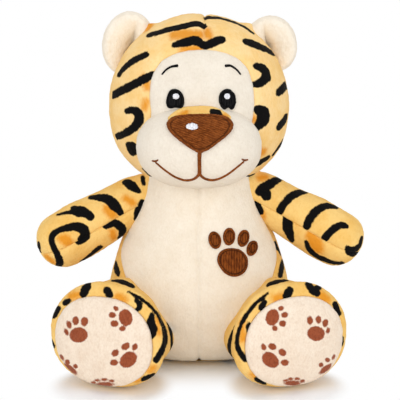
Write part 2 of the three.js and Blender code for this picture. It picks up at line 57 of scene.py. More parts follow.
camera = bpy.data.objects.new("camera", bpy.data.cameras.new("camera"))
camera.data.sensor_width = SENSOR_WIDTH
camera.data.lens = LENS_PIXELS / FRAME_PIXELS * SENSOR_WIDTH
camera.location = CAMERA_SPOT / 1000
camera.rotation_euler = (math.pi / 2 - CAMERA_TILT, 0, 0)
bpy.context.collection.objects.link(camera)
bpy.context.scene.camera = camera


def line_of_sight(pixel):
    """The unit direction from the camera through a pixel of the photograph."""
    across, down = (np.asarray(pixel, float) - FRAME_PIXELS / 2) / LENS_PIXELS
    direction = CAMERA_AHEAD + np.array((across, 0, 0)) - down * CAMERA_UP
    return direction / np.linalg.norm(direction)


# The belly is two cream plush panels joined by a seam down the middle and stuffed tight. The same outline,
# widest low down and narrow at the collar, which ends inside the head, serves the printed back that is
# sewn to its sides.
BODY_HEIGHTS = [0, 1.5, 5, 12, 25, 42, 58, 72, 86, 98, 110, 118, 128, 134, 140]
BODY_HALF_WIDTHS = [41, 47, 52, 56.5, 59.8, 60.5, 57.6, 53.2, 47.5, 42.8, 39.3, 38, 36.5, 34, 29]
BODY_HALF_DEPTHS = [33, 38.5, 42.5, 46, 49, 50, 48.5, 46, 43.5, 41, 39, 38, 36.5, 34, 29]
BELLY_HALF_DEPTHS = [27, 35.5, 43, 50, 54.3, 54.5, 51, 47, 43.8, 40.8, 37.8, 35.5, 33.5, 31, 27]
BELLY_FULLNESS = [2.3, 2.3, 2.3, 2.3, 2.3, 2.3, 2.25, 2.15, 2.0, 2.0, 2.0, 2.0, 2.0, 2.0, 2.0]
SEAT_SEAM = 3.2
SEAT_CURVE_TOP = 8
SIDE_SEAM_FORWARD = [18, 24, 28, 34, 39, 39, 29, 11.5, 11, 14.5, 16, 16, 16, 15, 13]
BODY_ROWS = np.concatenate(
    [np.linspace(SEAT_SEAM, SEAT_CURVE_TOP, 8)[:-1], np.linspace(SEAT_CURVE_TOP, BODY_HEIGHTS[-1], 99)]
)
BELLY_COLUMNS = 111
SEAM_DEPTH = 1.3
SEAM_REACH = 1.5
BELLY_SEAM_DEPTH = 1.5
BELLY_SEAM_REACH = 1.1
SEAM_ALLOWANCE = 3.0
LUMP_SIZE = 19
KNOB_SIZE = 8.5
KNOB_SHIFT = Vector((7, 3, 1))
KNOB_SHARE = 0.5
TUFT_SIZE = 2.4
TUFT_LIFT = 0.28
CREAM = (0.925, 0.845, 0.722)
CREAM_SHADE = (0.825, 0.718, 0.570)
CREAM_TINT = (1.0, 0.93, 0.82)
NAP_LEAN = (1, 1, 0.6)
NAP_SHIFT = 4.0
PILE_DEPTH = 0.0007
TINY = 1e-9
ONE_POINT = 1e-6
SAME_POINT = 1e-7


def flowing(places, values):
    """A smooth curve through values at the given places, as a function of the place."""
    places = np.asarray(places, float)
    values = np.asarray(values, float)
    slopes = np.gradient(values, places)

    def at(place):
        place = np.asarray(place, float)
        i = np.clip(np.searchsorted(places, place, side="right") - 1, 0, len(places) - 2)
        span = places[i + 1] - places[i]
        part = (place - places[i]) / span
        rest = 1 - part
        start = (1 + 2 * part) * rest**2 * values[i] + part * rest**2 * span * slopes[i]
        end = part * part * (3 - 2 * part) * values[i + 1] + part * part * (part - 1) * span * slopes[i + 1]
        return start + end

    return at


def facing(rows, closed):
    """The outward unit direction at each point of a grid of points."""
    along = np.gradient(rows, axis=0)
    if closed:
        across = np.roll(rows, -1, axis=1) - np.roll(rows, 1, axis=1)
    else:
        across = np.gradient(rows, axis=1)
    out = np.cross(along, across)
    out /= np.maximum(np.linalg.norm(out, axis=2, keepdims=True), TINY)
    for pole, near in ((0, 1), (-1, -2)):
        if np.ptp(rows[pole], axis=0).max() < ONE_POINT:
            middle = out[near].mean(axis=0)
            out[pole] = middle / np.linalg.norm(middle)
    if (out * (rows - rows.mean(axis=(0, 1)))).sum() < 0:
        out = -out
    return out


def run_of(rows, axis):
    """How far each point of a grid lies from the first point of its row or column."""
    steps = np.linalg.norm(np.diff(rows, axis=axis), axis=2)
    pad = [(0, 0), (0, 0)]
    pad[axis] = (1, 0)
    return np.pad(np.cumsum(steps, axis=axis), pad)


def seam_pull(distance, depth=SEAM_DEPTH, reach=SEAM_REACH):
    """How far a seam pulls the plush in at a distance from the stitches."""
    return depth * np.exp(-np.abs(distance) / reach)


def plush(name, rows, material, closed=False, pull=0.0, lump=0.35, turn_in=()):
    """A stuffed plush panel over a grid of points: drawn in at its seams, lumpy, with edges turned in."""
    out = facing(rows, closed)
    spots = [Vector(spot) for spot in rows.reshape(-1, 3)]
    knobs = [noise.noise(spot / KNOB_SIZE + KNOB_SHIFT) for spot in spots]
    lumps = [noise.noise(spot / LUMP_SIZE) + KNOB_SHARE * knob for spot, knob in zip(spots, knobs)]
    tufts = [noise.noise(spot / TUFT_SIZE) for spot in spots]
    lift = (lump * np.array(lumps) + TUFT_LIFT * np.array(tufts)).reshape(rows.shape[:2]) - pull
    rows = rows + out * lift[..., None]
    for edge in turn_in:
        if edge == "first row":
            rows = np.concatenate([rows[:1] - out[:1] * SEAM_ALLOWANCE, rows])
            out = np.concatenate([out[:1], out])
        elif edge == "last row":
            rows = np.concatenate([rows, rows[-1:] - out[-1:] * SEAM_ALLOWANCE])
            out = np.concatenate([out, out[-1:]])
        elif edge == "sides":
            first = rows[:, :1] - out[:, :1] * SEAM_ALLOWANCE
            last = rows[:, -1:] - out[:, -1:] * SEAM_ALLOWANCE
            rows = np.concatenate([first, rows, last], axis=1)
            out = np.concatenate([out[:, :1], out, out[:, -1:]], axis=1)
    return surface(name, rows, material, closed)


def surface(name, rows, material, closed=False):
    """A smooth mesh over a grid of points in millimetres, with its outside outwards."""
    count_down, count_across = rows.shape[:2]
    index = np.arange(count_down * count_across).reshape(count_down, count_across)
    if closed:
        index = np.concatenate([index, index[:, :1]], axis=1)
    quads = np.stack([index[:-1, :-1], index[1:, :-1], index[1:, 1:], index[:-1, 1:]], axis=-1)
    mesh = bpy.data.meshes.new(name)
    mesh.from_pydata((rows.reshape(-1, 3) / 1000).tolist(), [], quads.reshape(-1, 4).tolist())
    work = bmesh.new()
    work.from_mesh(mesh)
    bmesh.ops.remove_doubles(work, verts=work.verts, dist=SAME_POINT)
    middle = sum((vert.co for vert in work.verts), Vector()) / len(work.verts)
    outside = 0
    for quad in work.faces:
        outside += quad.normal.dot(quad.calc_center_median() - middle) * quad.calc_area()
    if outside < 0:
        bmesh.ops.reverse_faces(work, faces=work.faces)
    work.to_mesh(mesh)
    work.free()
    mesh.polygons.foreach_set("use_smooth", [True] * len(mesh.polygons))
    mesh.materials.append(material)
    piece = bpy.data.objects.new(name, mesh)
    bpy.context.collection.objects.link(piece)
    return piece


class Thread:
    """One output socket of a node, which plain arithmetic ties to other sockets and numbers."""

    def __init__(self, weave, socket):
        self.weave = weave
        self.socket = socket

    def tie(self, operation, first, second):
        return self.weave.node("ShaderNodeMath", {"operation": operation}, {0: first, 1: second})

    def __add__(self, other):
        return self.tie("ADD", self, other)

    __radd__ = __add__

    def __sub__(self, other):
        return self.tie("SUBTRACT", self, other)

    def __rsub__(self, other):
        return self.tie("SUBTRACT", other, self)

    def __mul__(self, other):
        return self.tie("MULTIPLY", self, other)

    __rmul__ = __mul__


class Weave:
    """A tree of shader nodes."""

    def __init__(self, tree):
        self.tree = tree

    def node(self, kind, settings=None, sockets=None, out=0):
        """Adds a node, with its settings made first and its sockets fed, and gives one of its outputs."""
        made = self.tree.nodes.new(kind)
        for setting, value in (settings or {}).items():
            setattr(made, setting, value)
        for socket, value in (sockets or {}).items():
            self.feed(made.inputs[socket], value)
        return Thread(self, made.outputs[out])

    def feed(self, socket, value):
        """Ties a socket to another, or gives it a plain value."""
        if isinstance(value, Thread):
            self.tree.links.new(value.socket, socket)
        elif socket.type == "RGBA" and len(value) == 3:
            socket.default_value = (*value, 1)
        else:
            socket.default_value = value

    def seen_directly(self):
        """1 for what the camera sees, also in a gloss or through something clear, and 0 for other light."""
        kinds = ("Camera", "Glossy", "Transmission")
        rays = [self.node("ShaderNodeLightPath", out=f"Is {kind} Ray") for kind in kinds]
        return rays[0] + rays[1] + rays[2]

    def blend(self, share, first, second):
        """A colour that goes from first to second as the share goes from 0 to 1."""
        return self.node("ShaderNodeMix", {"data_type": "RGBA"}, {0: share, 6: first, 7: second}, 2)

    def step(self, value, low, high):
        """A smooth rise from 0 to 1 while a value goes from low to high."""
        sockets = {"Value": value, "From Min": low, "From Max": high}
        return self.node("ShaderNodeMapRange", {"interpolation_type": "SMOOTHSTEP"}, sockets)


class Finish(Weave):
    """A material built from nodes round one Principled shader."""

    def __init__(self, name, **constants):
        self.material = bpy.data.materials.new(name)
        self.material.use_nodes = True
        super().__init__(self.material.node_tree)
        self.shader = self.tree.nodes["Principled BSDF"]
        for socket, value in constants.items():
            self.shader.inputs[socket.replace("_", " ")].default_value = value

    def place(self, stretch=(1, 1, 1)):
        """Where a point lies on the toy at rest, in metres, stretched along the pile."""
        spot = self.node("ShaderNodeTexCoord", out="Object")
        return self.node("ShaderNodeMapping", {}, {"Vector": spot, "Scale": stretch})

    def speckle(self, size, detail=2.0, stretch=(1, 1, 1), shift=0.0):
        """Soft noise with specks of a size in millimetres."""
        sockets = {"Vector": self.place(stretch), "Scale": 1000 / size, "Detail": detail, "W": shift}
        return self.node("ShaderNodeTexNoise", {"noise_dimensions": "4D"}, sockets)

    def printed(self, name):
        """A distance in millimetres that the mesh keeps at each of its points."""
        return self.node("ShaderNodeAttribute", {"attribute_name": name}, out="Fac")

    def nap(self, size=0.9, lean=NAP_LEAN):
        """The finest grain of the plush, where single tips of the pile catch the light."""
        return self.speckle(size, 3, lean, NAP_SHIFT)

    def pile(self, nap):
        """The height of brushed pile: the nap over small tufts."""
        return nap * 0.7 + self.speckle(3.2, 2, NAP_LEAN, 9.0) * 0.5

    def dress(self, colour, bump=None, depth=PILE_DEPTH):
        """Gives the shader its colour and, where there is one, a relief of a depth in metres."""
        self.feed(self.shader.inputs["Base Color"], colour)
        if bump is not None:
            sockets = {"Height": bump, "Strength": 1.0, "Distance": depth}
            self.feed(self.shader.inputs["Normal"], self.node("ShaderNodeBump", {}, sockets, "Normal"))
        return self.material


def soft_finish(name, tint):
    """A matt finish whose raised pile glows a little round the edge of a form."""
    finish = Finish(name, Roughness=0.92, Sheen_Weight=0.25, Sheen_Roughness=0.45, Specular_IOR_Level=0.2)
    finish.shader.inputs["Sheen Tint"].default_value = (*tint, 1)
    return finish


def plush_finish(name, light, shade, tint=CREAM_TINT):
    """Unprinted short-pile plush: brushed patches of lighter and darker pile over a fine nap."""
    finish = soft_finish(name, tint)
    brushed = finish.step(finish.speckle(11, 3), 0.30, 0.75)
    nap = finish.nap()
    colour = finish.blend(brushed * 0.4 + finish.step(nap, 0.35, 0.75) * 0.42, light, shade)
    return finish.dress(colour, finish.pile(nap))


cream_plush = plush_finish("cream_plush", CREAM, CREAM_SHADE)


def squared(turn, power):
    """How far out the edge of a rounded square lies at a turn, where a power of 2 gives a circle."""
    return (np.abs(np.cos(turn)) ** power + np.abs(np.sin(turn)) ** power) ** (-1 / power)


def body_ring(heights, turn_from, turn_to, columns):
    """A grid round the body between two turns, which may change with height."""
    width = flowing(BODY_HEIGHTS, BODY_HALF_WIDTHS)(heights)[:, None]
    share = np.linspace(0, 1, columns)[None, :]
    turn = turn_from[:, None] + (turn_to - turn_from)[:, None] * share
    back_depth = flowing(BODY_HEIGHTS, BODY_HALF_DEPTHS)(heights)[:, None]
    belly_depth = flowing(BODY_HEIGHTS, BELLY_HALF_DEPTHS)(heights)[:, None]
    depth = np.where(np.sin(turn) < 0, belly_depth, back_depth)
    power = np.where(np.sin(turn) < 0, flowing(BODY_HEIGHTS, BELLY_FULLNESS)(heights)[:, None], 2.0)
    full = squared(turn, power)
    up = np.broadcast_to(heights[:, None], turn.shape)
    return np.stack([width * full * np.cos(turn), depth * full * np.sin(turn), up], axis=-1)


side_seam_forward = flowing(BODY_HEIGHTS, SIDE_SEAM_FORWARD)(BODY_ROWS)
side_seam_turn = np.arcsin(side_seam_forward / flowing(BODY_HEIGHTS, BELLY_HALF_DEPTHS)(BODY_ROWS))
belly_rows = body_ring(BODY_ROWS, math.pi + side_seam_turn, 2 * math.pi - side_seam_turn, BELLY_COLUMNS)
belly_run = run_of(belly_rows, 1)
belly_pull = seam_pull(belly_run) + seam_pull(belly_run[:, -1:] - belly_run)
belly_pull += seam_pull(belly_rows[..., 0], BELLY_SEAM_DEPTH, BELLY_SEAM_REACH)
belly = plush("belly", belly_rows, cream_plush, pull=belly_pull, turn_in=("sides", "first row"))
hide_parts("belly_panel_left", "belly_panel_right")
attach(belly, "torso")

# The back and the seat are printed plush: black brush strokes and burnt-orange patches on yellow. The
# back is two panels joined down the spine, sewn to the belly at the sides and to the seat underneath.
BACK_COLUMNS = 171
SPINE_SEAM_DEPTH = 0.9
SPINE_SEAM_REACH = 1.3
BACK_HIDDEN_FROM = -6
BRUSH_HALF = 3.0
BRUSH_SPREAD = 1.3
RUN_ON_SHARE = 0.8
SEEN_ABOVE = 0.04
FAR_OFF = 50.0
SIGHT_STEPS = range(620, 840, 10)
BRUSH_STEPS = 5
BRUSH_END = 0.86
MARK_TRIES = 12
MARKS_APART = 11.5
MARK_STEP = 2
MARK_HALF_WIDTH = (2.3, 3.3)
CURLED_SHARE = 0.4
CURLED_BEND = (0.16, 0.24)
CURLED_STEPS = (13, 18)
STRAIGHT_BEND = (-0.05, 0.05)
STRAIGHT_STEPS = (6, 13)
PATCHED_SHARE = 0.5
PATCH_AWAY = (3, 5)
PATCH_HALF_WIDTH = (3.5, 5.5)
PATCH_LENGTH = 0.5
SEAT_RINGS = 24
SEAT_RIM_ROWS = 6
SEAT_COLUMNS = 120
SEAT_FLOOR = 0.2
PRINT_PALE = (0.915, 0.620, 0.222)
PRINT_GOLD = (0.825, 0.470, 0.104)
PRINT_AMBER = (0.750, 0.275, 0.012)
PRINT_BLACK = (0.0050, 0.0048, 0.0050)
PRINT_TINT = (1.0, 0.85, 0.62)
PRINT_NAP_LEAN = (1, 1, 0.55)


def print_finish(name, pale, gold):
    """Printed plush: the black and amber marks are distances kept on the mesh, ragged by the pile; some black
    lines on the legs are painted shade.
    """
    finish = Finish(name, Roughness=0.9, Sheen_Weight=0.03, Sheen_Roughness=0.4, Specular_IOR_Level=0.05)
    finish.shader.inputs["Sheen Tint"].default_value = (*PRINT_TINT, 1)
    nap = finish.nap(1.1, PRINT_NAP_LEAN)
    ragged = (finish.speckle(1.5, 2, NAP_LEAN, 2.0) - 0.5) * 1.7 + (finish.speckle(6, 1) - 0.5) * 1.6
    brushed = finish.step(finish.speckle(13, 3, shift=6.0), 0.32, 0.72)
    ground = finish.blend(brushed * 0.65 + finish.step(nap, 0.4, 0.8) * 0.35, pale, gold)
    amber = 1 - finish.step(finish.printed("amber") + ragged * 1.6, -2.2, 2.0)
    ground = finish.blend(amber * 0.9, ground, PRINT_AMBER)
    black = 1 - finish.step(finish.printed("ink") + ragged * 0.8, -0.1, 0.7)
    colour = finish.blend(black, ground, PRINT_BLACK)
    return finish.dress(colour, finish.pile(nap))


print_plush = print_finish("print_plush", PRINT_PALE, PRINT_GOLD)


def points_of(piece):
    """The points of a piece's mesh in millimetres."""
    flat = np.empty(len(piece.data.vertices) * 3)
    piece.data.vertices.foreach_get("co", flat)
    return flat.reshape(-1, 3) * 1000


def skin_of(*pieces):
    """A search tree over pieces, in millimetres, that lines of sight can hit."""
    points, faces = [], []
    for piece in pieces:
        start = len(points)
        points += points_of(piece).tolist()
        faces += [[start + i for i in face.vertices] for face in piece.data.polygons]
    return BVHTree.FromPolygons(points, faces)


def seen_at(skin, pixel):
    """The point and facing of the skin behind a pixel of the photograph, or of the skin nearest to it."""
    direction = line_of_sight(pixel)
    point, normal, _, _ = skin.ray_cast(Vector(CAMERA_SPOT), Vector(direction))
    if point is None:
        near = min(
            (skin.find_nearest(Vector(CAMERA_SPOT + direction * away)) for away in SIGHT_STEPS),
            key=lambda found: found[3],
        )
        point, normal = near[0], near[1]
    return np.array(point), np.array(normal)


def on_photo(points):
    """The pixels at which points show in the photograph, and how far ahead of the camera they are."""
    off = points - CAMERA_SPOT
    ahead = off @ CAMERA_AHEAD
    across = FRAME_PIXELS / 2 + LENS_PIXELS * off[:, 0] / ahead
    down = FRAME_PIXELS / 2 - LENS_PIXELS * (off @ CAMERA_UP) / ahead
    return np.stack([across, down], axis=1), ahead


def smooth_path(points, places, fine):
    """Points along a smooth curve through points at the given places."""
    return np.stack([flowing(places, column)(fine) for column in np.transpose(points)], axis=1)


def brush_path(pixels, width):
    """The pixels along the middle of a brush stroke, and its half width there, from one width or several."""
    pixels = np.asarray(pixels, float)
    share = np.linspace(0, 1, len(pixels))
    fine = np.linspace(0, 1, max(3, BRUSH_STEPS * (len(pixels) - 1) + 1))
    if len(pixels) > 2:
        path = smooth_path(pixels, share, fine)
    else:
        path = pixels[0] + (pixels[1] - pixels[0]) * fine[:, None]
    widths = np.interp(fine, share, np.broadcast_to(width, len(pixels)))
    return path, widths / 2 * (BRUSH_END + (1 - BRUSH_END) * np.sin(np.pi * fine))


def nearest_stroke(points, strokes):
    """How far outside the nearest stroke each point lies, negative inside it."""
    nearest = np.full(len(points), FAR_OFF)
    for path, halves in strokes:
        for i in range(len(path) - 1):
            start, step = path[i], path[i + 1] - path[i]
            share = np.clip((points - start) @ step / max(step @ step, TINY), 0, 1)
            off = np.linalg.norm(points - start - share[:, None] * step, axis=1)
            nearest = np.minimum(nearest, off - halves[i] - (halves[i + 1] - halves[i]) * share)
    return nearest


def stroke_on(skin, pixels, width):
    """A brush stroke of the photograph as points on the skin with half widths, or None where it misses."""
    path, halves = brush_path(pixels, width)
    hits = [skin.ray_cast(Vector(CAMERA_SPOT), Vector(line_of_sight(pixel)))[0] for pixel in path]
    on = [i for i, hit in enumerate(hits) if hit is not None]
    if len(on) < 2:
        return None
    points = np.array([hits[i] for i in on])
    return points, halves[on] * ((points - CAMERA_SPOT) @ CAMERA_AHEAD) / LENS_PIXELS


def seen_strokes(piece, skin, strokes):
    """How far each point of a piece lies outside the strokes of the photograph, in millimetres.

    Where the camera sees the piece a stroke is as wide as it shows, but no wider than a brush makes it on the
    cloth; round the edge of what is seen it runs on as a plain stroke."""
    points = points_of(piece)
    normals = np.empty(points.size)
    piece.data.vertex_normals.foreach_get("vector", normals)
    toward = CAMERA_SPOT - points
    seen = (normals.reshape(-1, 3) * toward).sum(axis=1) / np.linalg.norm(toward, axis=1) > SEEN_ABOVE
    pixels, ahead = on_photo(points)
    nearest = np.full(len(points), FAR_OFF)
    for width, *path in strokes:
        spine = stroke_on(skin, path, width)
        if spine is None:
            continue
        flat = nearest_stroke(pixels, [brush_path(path, width)]) * ahead / LENS_PIXELS
        brush = nearest_stroke(points, [(spine[0], np.maximum(BRUSH_SPREAD * spine[1], BRUSH_HALF))])
        runs_on = nearest_stroke(points, [(spine[0], RUN_ON_SHARE * spine[1])])
        nearest = np.minimum(nearest, np.where(seen, np.maximum(flat, brush), runs_on))
    return nearest


def brushed_mark(skin, start, rng):
    """A brush stroke that wanders over the skin from a point, as on the rest of the printed cloth."""
    hit = skin.find_nearest(Vector(start))
    spot, normal = hit[0], hit[1]
    heading = Vector((rng.uniform(-1, 1), rng.uniform(-1, 1), rng.uniform(-1, 1)))
    curled = rng.random() < CURLED_SHARE
    bend = rng.uniform(*CURLED_BEND) * rng.choice((-1, 1)) if curled else rng.uniform(*STRAIGHT_BEND)
    steps = rng.randint(*(CURLED_STEPS if curled else STRAIGHT_STEPS))
    path = [np.array(spot)]
    middle = Vector(spot)
    for _ in range(steps):
        heading = (heading - heading.dot(normal) * normal).normalized()
        heading = (heading + normal.cross(heading) * bend).normalized()
        hit = skin.find_nearest(spot + heading * MARK_STEP)
        spot, normal = hit[0], hit[1]
        path.append(np.array(spot))
        middle += spot
    width = rng.uniform(*MARK_HALF_WIDTH)
    taper = 0.55 + 0.45 * np.sin(np.pi * np.linspace(0.08, 0.92, len(path)))
    return (np.array(path), width * taper), np.array(middle / (steps + 1)), curled


def keep_on(piece, name, values):
    """Keeps a value at each point of a piece's mesh for its finish to read."""
    kept = piece.data.attributes.new(name, "FLOAT", "POINT")
    kept.data.foreach_set("value", np.asarray(values, np.float32))


def print_marks(piece, strokes=(), patches=(), seed=0, marks=0, hidden=None):
    """Prints a piece: strokes and patches seen in the photograph, then like marks where it can't see; some
    strokes that a caller gives are painted shade.
    """
    skin = skin_of(piece)
    points = points_of(piece)
    black = [spine for spine in (stroke_on(skin, pixels, width) for width, *pixels in strokes) if spine]
    amber = []
    seen_count = len(black)
    rng = random.Random(seed)
    unseen = points[hidden(points)] if hidden else points
    for _ in range(marks * MARK_TRIES):
        if marks == 0 or len(unseen) == 0:
            break
        start = unseen[rng.randrange(len(unseen))]
        mark, middle, curled = brushed_mark(skin, start, rng)
        path = mark[0]
        gaps = [np.linalg.norm(path[:, None] - other[0][None], axis=2).min() for other in black]
        if min(gaps, default=FAR_OFF) < MARKS_APART or (hidden and not hidden(path).all()):
            continue
        black.append(mark)
        marks -= 1
        if curled or rng.random() < PATCHED_SHARE:
            near = middle if curled else path[0] + rng.uniform(*PATCH_AWAY)
            spot = np.array(skin.find_nearest(Vector(near))[0])
            spread = rng.uniform(*PATCH_HALF_WIDTH)
            amber.append((np.array((spot, spot + PATCH_LENGTH)), np.array((spread, spread))))
    for name, made, seen in (("ink", black[seen_count:], strokes), ("amber", amber, patches)):
        off = np.minimum(nearest_stroke(points, made), seen_strokes(piece, skin, seen))
        keep_on(piece, name, off)


back_rows = body_ring(BODY_ROWS, -side_seam_turn, math.pi + side_seam_turn, BACK_COLUMNS)
back_run = run_of(back_rows, 1)
back_pull = seam_pull(back_run) + seam_pull(back_run[:, -1:] - back_run)
back_pull += seam_pull(back_rows[..., 0], SPINE_SEAM_DEPTH, SPINE_SEAM_REACH) * (back_rows[..., 1] > 0)
back = plush("back", back_rows, print_plush, pull=back_pull, turn_in=("sides", "first row"))
BACK_STROKES = [
    (9, (141, 206), (141.5, 211), (142, 217)),
    (6, (118, 240), (117, 247)),
    (5, (114, 262), (118, 274)),
    (7, (276, 244), (280, 252)),
    (5, (283, 262), (280, 276)),
]
print_marks(back, BACK_STROKES, seed=3, marks=34, hidden=lambda spots: spots[:, 1] > BACK_HIDDEN_FROM)
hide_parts("back_panel_left", "back_panel_right")
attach(back, "torso")

seat_turn = np.zeros(SEAT_RIM_ROWS), np.full(SEAT_RIM_ROWS, 2 * math.pi * (1 - 1 / SEAT_COLUMNS))
seat_rim = body_ring(np.linspace(SEAT_SEAM, SEAT_FLOOR, SEAT_RIM_ROWS), *seat_turn, SEAT_COLUMNS)
seat_share = np.linspace(1, 0, SEAT_RINGS)
seat_under = seat_rim[-1] * np.stack([seat_share, seat_share, np.ones(SEAT_RINGS)], axis=1)[1:, None]
seat_rows = np.concatenate([seat_rim, seat_under])
seat = surface("seat", seat_rows, print_plush, closed=True)
print_marks(seat, seed=9, marks=9)
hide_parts("seat_panel")
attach(seat, "torso")

# The chest badge is a paw embroidered in dark brown thread through the belly plush: a pad and four toes,
# each filled in rows and edged with a raised satin border.
PAW_BROWN = (0.085, 0.018, 0.0015)
PAW_BROWN_LIGHT = (0.265, 0.068, 0.0090)
BADGE_LIFT = 1.3
SATIN_BORDER = 2.6
ROW_PITCH = 2.6
ROW_RELIEF = 0.12
BORDER_FOOT = 0.75
BORDER_RELIEF = 0.45
STITCH_RELIEF = 0.07
EDGE_SINK = 0.3
THREAD_DEPTH = 0.0005
OVAL_POINTS = 24
BADGE_PAD = [
    (232, 248), (239, 249.5), (245, 254.5), (247.6, 262), (246, 270), (240, 275.6),
    (232.5, 276.8), (225, 273.5), (219.5, 267), (217, 260), (219, 253), (224.5, 249),
]
BADGE_TOES = [
    ((214.6, 240.2), 6.2, 9.0, -13),
    ((228.8, 236.7), 5.9, 8.9, 2),
    ((243.0, 238.4), 5.5, 8.7, 12),
    ((251.7, 248.4), 5.1, 7.9, 16),
]


def oval_outline(middle, half_wide, half_tall, lean=0.0):
    """Pixels round a leaning oval."""
    turn = np.linspace(0, 2 * math.pi, OVAL_POINTS, endpoint=False)
    across, down = half_wide * np.sin(turn), -half_tall * np.cos(turn)
    lean = math.radians(lean)
    column = middle[0] + across * math.cos(lean) - down * math.sin(lean)
    row = middle[1] + across * math.sin(lean) + down * math.cos(lean)
    return np.stack([column, row], axis=1)


def smooth_loop(pixels, count):
    """A smooth closed outline through pixels."""
    pixels = np.asarray(pixels, float)
    laps = np.concatenate([pixels[-3:], pixels, pixels[:4]])
    places = np.arange(-3, len(pixels) + 4)
    fine = np.linspace(0, len(pixels), count, endpoint=False)
    return smooth_path(laps, places, fine)


def stitched_patch(
    name, skin, pixels, lift, material, lean=90.0, pitch=ROW_PITCH, border=SATIN_BORDER, around=150, rings=44
):
    """A filled embroidered patch: rows of thread inside a raised satin border, sunk at its edge."""
    loop = smooth_loop(pixels, around)
    middle = loop.mean(axis=0)
    reach = np.linalg.norm(loop - middle, axis=1).mean()
    across_rows = np.array((math.sin(math.radians(lean)), -math.cos(math.radians(lean))))
    stitch = np.arange(around) / around * round(2 * math.pi * reach / pitch)
    rows, edges, strands = [], [], []
    for share in np.linspace(0, 1, rings):
        ring = middle + (loop - middle) * share
        found = [seen_at(skin, pixel) for pixel in ring]
        to_edge = (1 - share) * reach
        if to_edge > border:
            strand = np.cos(2 * math.pi * (ring - middle) @ across_rows / pitch)
            rise = 1 + ROW_RELIEF * strand
        else:
            strand = np.cos(2 * math.pi * stitch)
            swell = BORDER_RELIEF * math.sin(math.pi * to_edge / border)
            rise = BORDER_FOOT + swell + STITCH_RELIEF * strand
        height = lift * rise if share < 1 else np.full(around, -EDGE_SINK)
        rows.append([point + normal * up for (point, normal), up in zip(found, height)])
        edges += [to_edge] * (around if share > 0 else 1)
        strands += list(strand[: around if share > 0 else 1])
    rows = np.array(rows)
    rows[0] = rows[0].mean(axis=0)
    patch = surface(name, rows, material, closed=True)
    # The distance to the edge is kept so that the thread finish can paint shade in the groove inside the
    # satin border.
    keep_on(patch, "to_edge", edges)
    # The strand phase is kept so that the thread finish can paint highlight on the row crowns and shade
    # between the rows.
    keep_on(patch, "strand", strands)
    return patch


def thread_finish(name, light, dark, border=SATIN_BORDER, slant=(1.0, 1.0, 0.25), gloss=0.12):
    """Embroidery thread: strands of random lighter and darker tone, with painted highlight on the row crowns,
    painted shade between rows, and a painted shade line in the groove inside the satin border.
    """
    finish = Finish(name, Roughness=0.55, Specular_IOR_Level=gloss)
    twist = finish.speckle(1.2, 2, slant, 3.0)
    knots = finish.speckle(2.6, 2, shift=8.0)
    # A painted shade line in the groove where the raised satin border meets the fill, darker than the thread
    # itself.
    inside = finish.printed("to_edge") - border
    off_line = finish.node("ShaderNodeMath", {"operation": "ABSOLUTE"}, {0: inside})
    line = 1 - finish.step(off_line, 0.2, 1.0)
    # Twist and knots give the strands a random lighter and darker tone; the strand phase adds painted
    # highlight on the crowns of the thread rows and painted shade between them.
    crown = finish.step(twist * 0.5 + knots * 0.35 + finish.printed("strand") * 0.08 + 0.07, 0.34, 0.66)
    colour = finish.blend(crown, dark, light)
    groove_shade = finish.node("ShaderNodeVectorMath", {"operation": "SCALE"}, {0: dark, "Scale": 0.55})
    colour = finish.blend(line * 0.85, colour, groove_shade)
    return finish.dress(colour, twist, THREAD_DEPTH)


badge_thread = thread_finish("badge_thread", PAW_BROWN_LIGHT, PAW_BROWN, gloss=0.07)
belly_skin = skin_of(belly)
badge = {"chest_paw_pad": BADGE_PAD}
for number, toe in enumerate(BADGE_TOES, 1):
    badge[f"chest_paw_toe_{number}"] = oval_outline(*toe)
for node, outline in badge.items():
    patch = stitched_patch(f"{node}_stitched", belly_skin, outline, BADGE_LIFT, badge_thread)
    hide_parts(node)
    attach(patch, "torso")

# The head is a stuffed ball: a printed crown in two halves, sewn to a cream face panel and closed under
# the chin. The outline of the face comes from the photograph.
HEAD_MIDDLE = np.array((0, 0, 166.5))
HEAD_HALF = np.array((59.0, 52.0, 59.0))
JOWL = 0.035
JOWL_AT = -0.52
JOWL_REACH = 0.3
FACE_OUTLINE = [
    (203, 48.5), (217, 49.5), (230, 53), (241, 59.5), (249, 69), (253.5, 82), (255.5, 97), (255, 111),
    (251, 128), (236, 148), (200, 158), (164, 148), (151, 128), (150, 111), (148.5, 97), (149.5, 83),
    (153, 71), (161, 60), (173, 53), (188, 49.5),
]
FACE_PIXEL_MIDDLE = (201, 100)
FACE_CREAM = (0.850, 0.780, 0.675)
FACE_CREAM_SHADE = (0.750, 0.665, 0.550)
CROWN_PALE = (0.950, 0.690, 0.340)
CROWN_GOLD = (0.890, 0.550, 0.170)
EAR_TENTS = [(32.5, 3.0, 216.0), (-32.5, 3.0, 216.0)]
EAR_TENT_LIFT = 3.2
EAR_TENT_REACH = 4.6
HEAD_COLUMNS = 250
FACE_RINGS = 44
CROWN_RINGS = 96
FACE_SEAM = (1.5, 1.8)
PARTING_SEAM = (2.0, 1.4)
CROWN_BACK_EASE = (0.8, 0.4, 0)
CROWN_HIDDEN_FROM = 7


def head_skin_at(toward):
    """A point of the stuffed head in a direction given for a ball, fuller at the jowls."""
    full = 1 + JOWL * np.exp(-(((toward[..., 2] - JOWL_AT) / JOWL_REACH) ** 2))
    out = toward * HEAD_HALF
    return HEAD_MIDDLE + np.stack([out[..., 0] * full, out[..., 1], out[..., 2]], axis=-1)


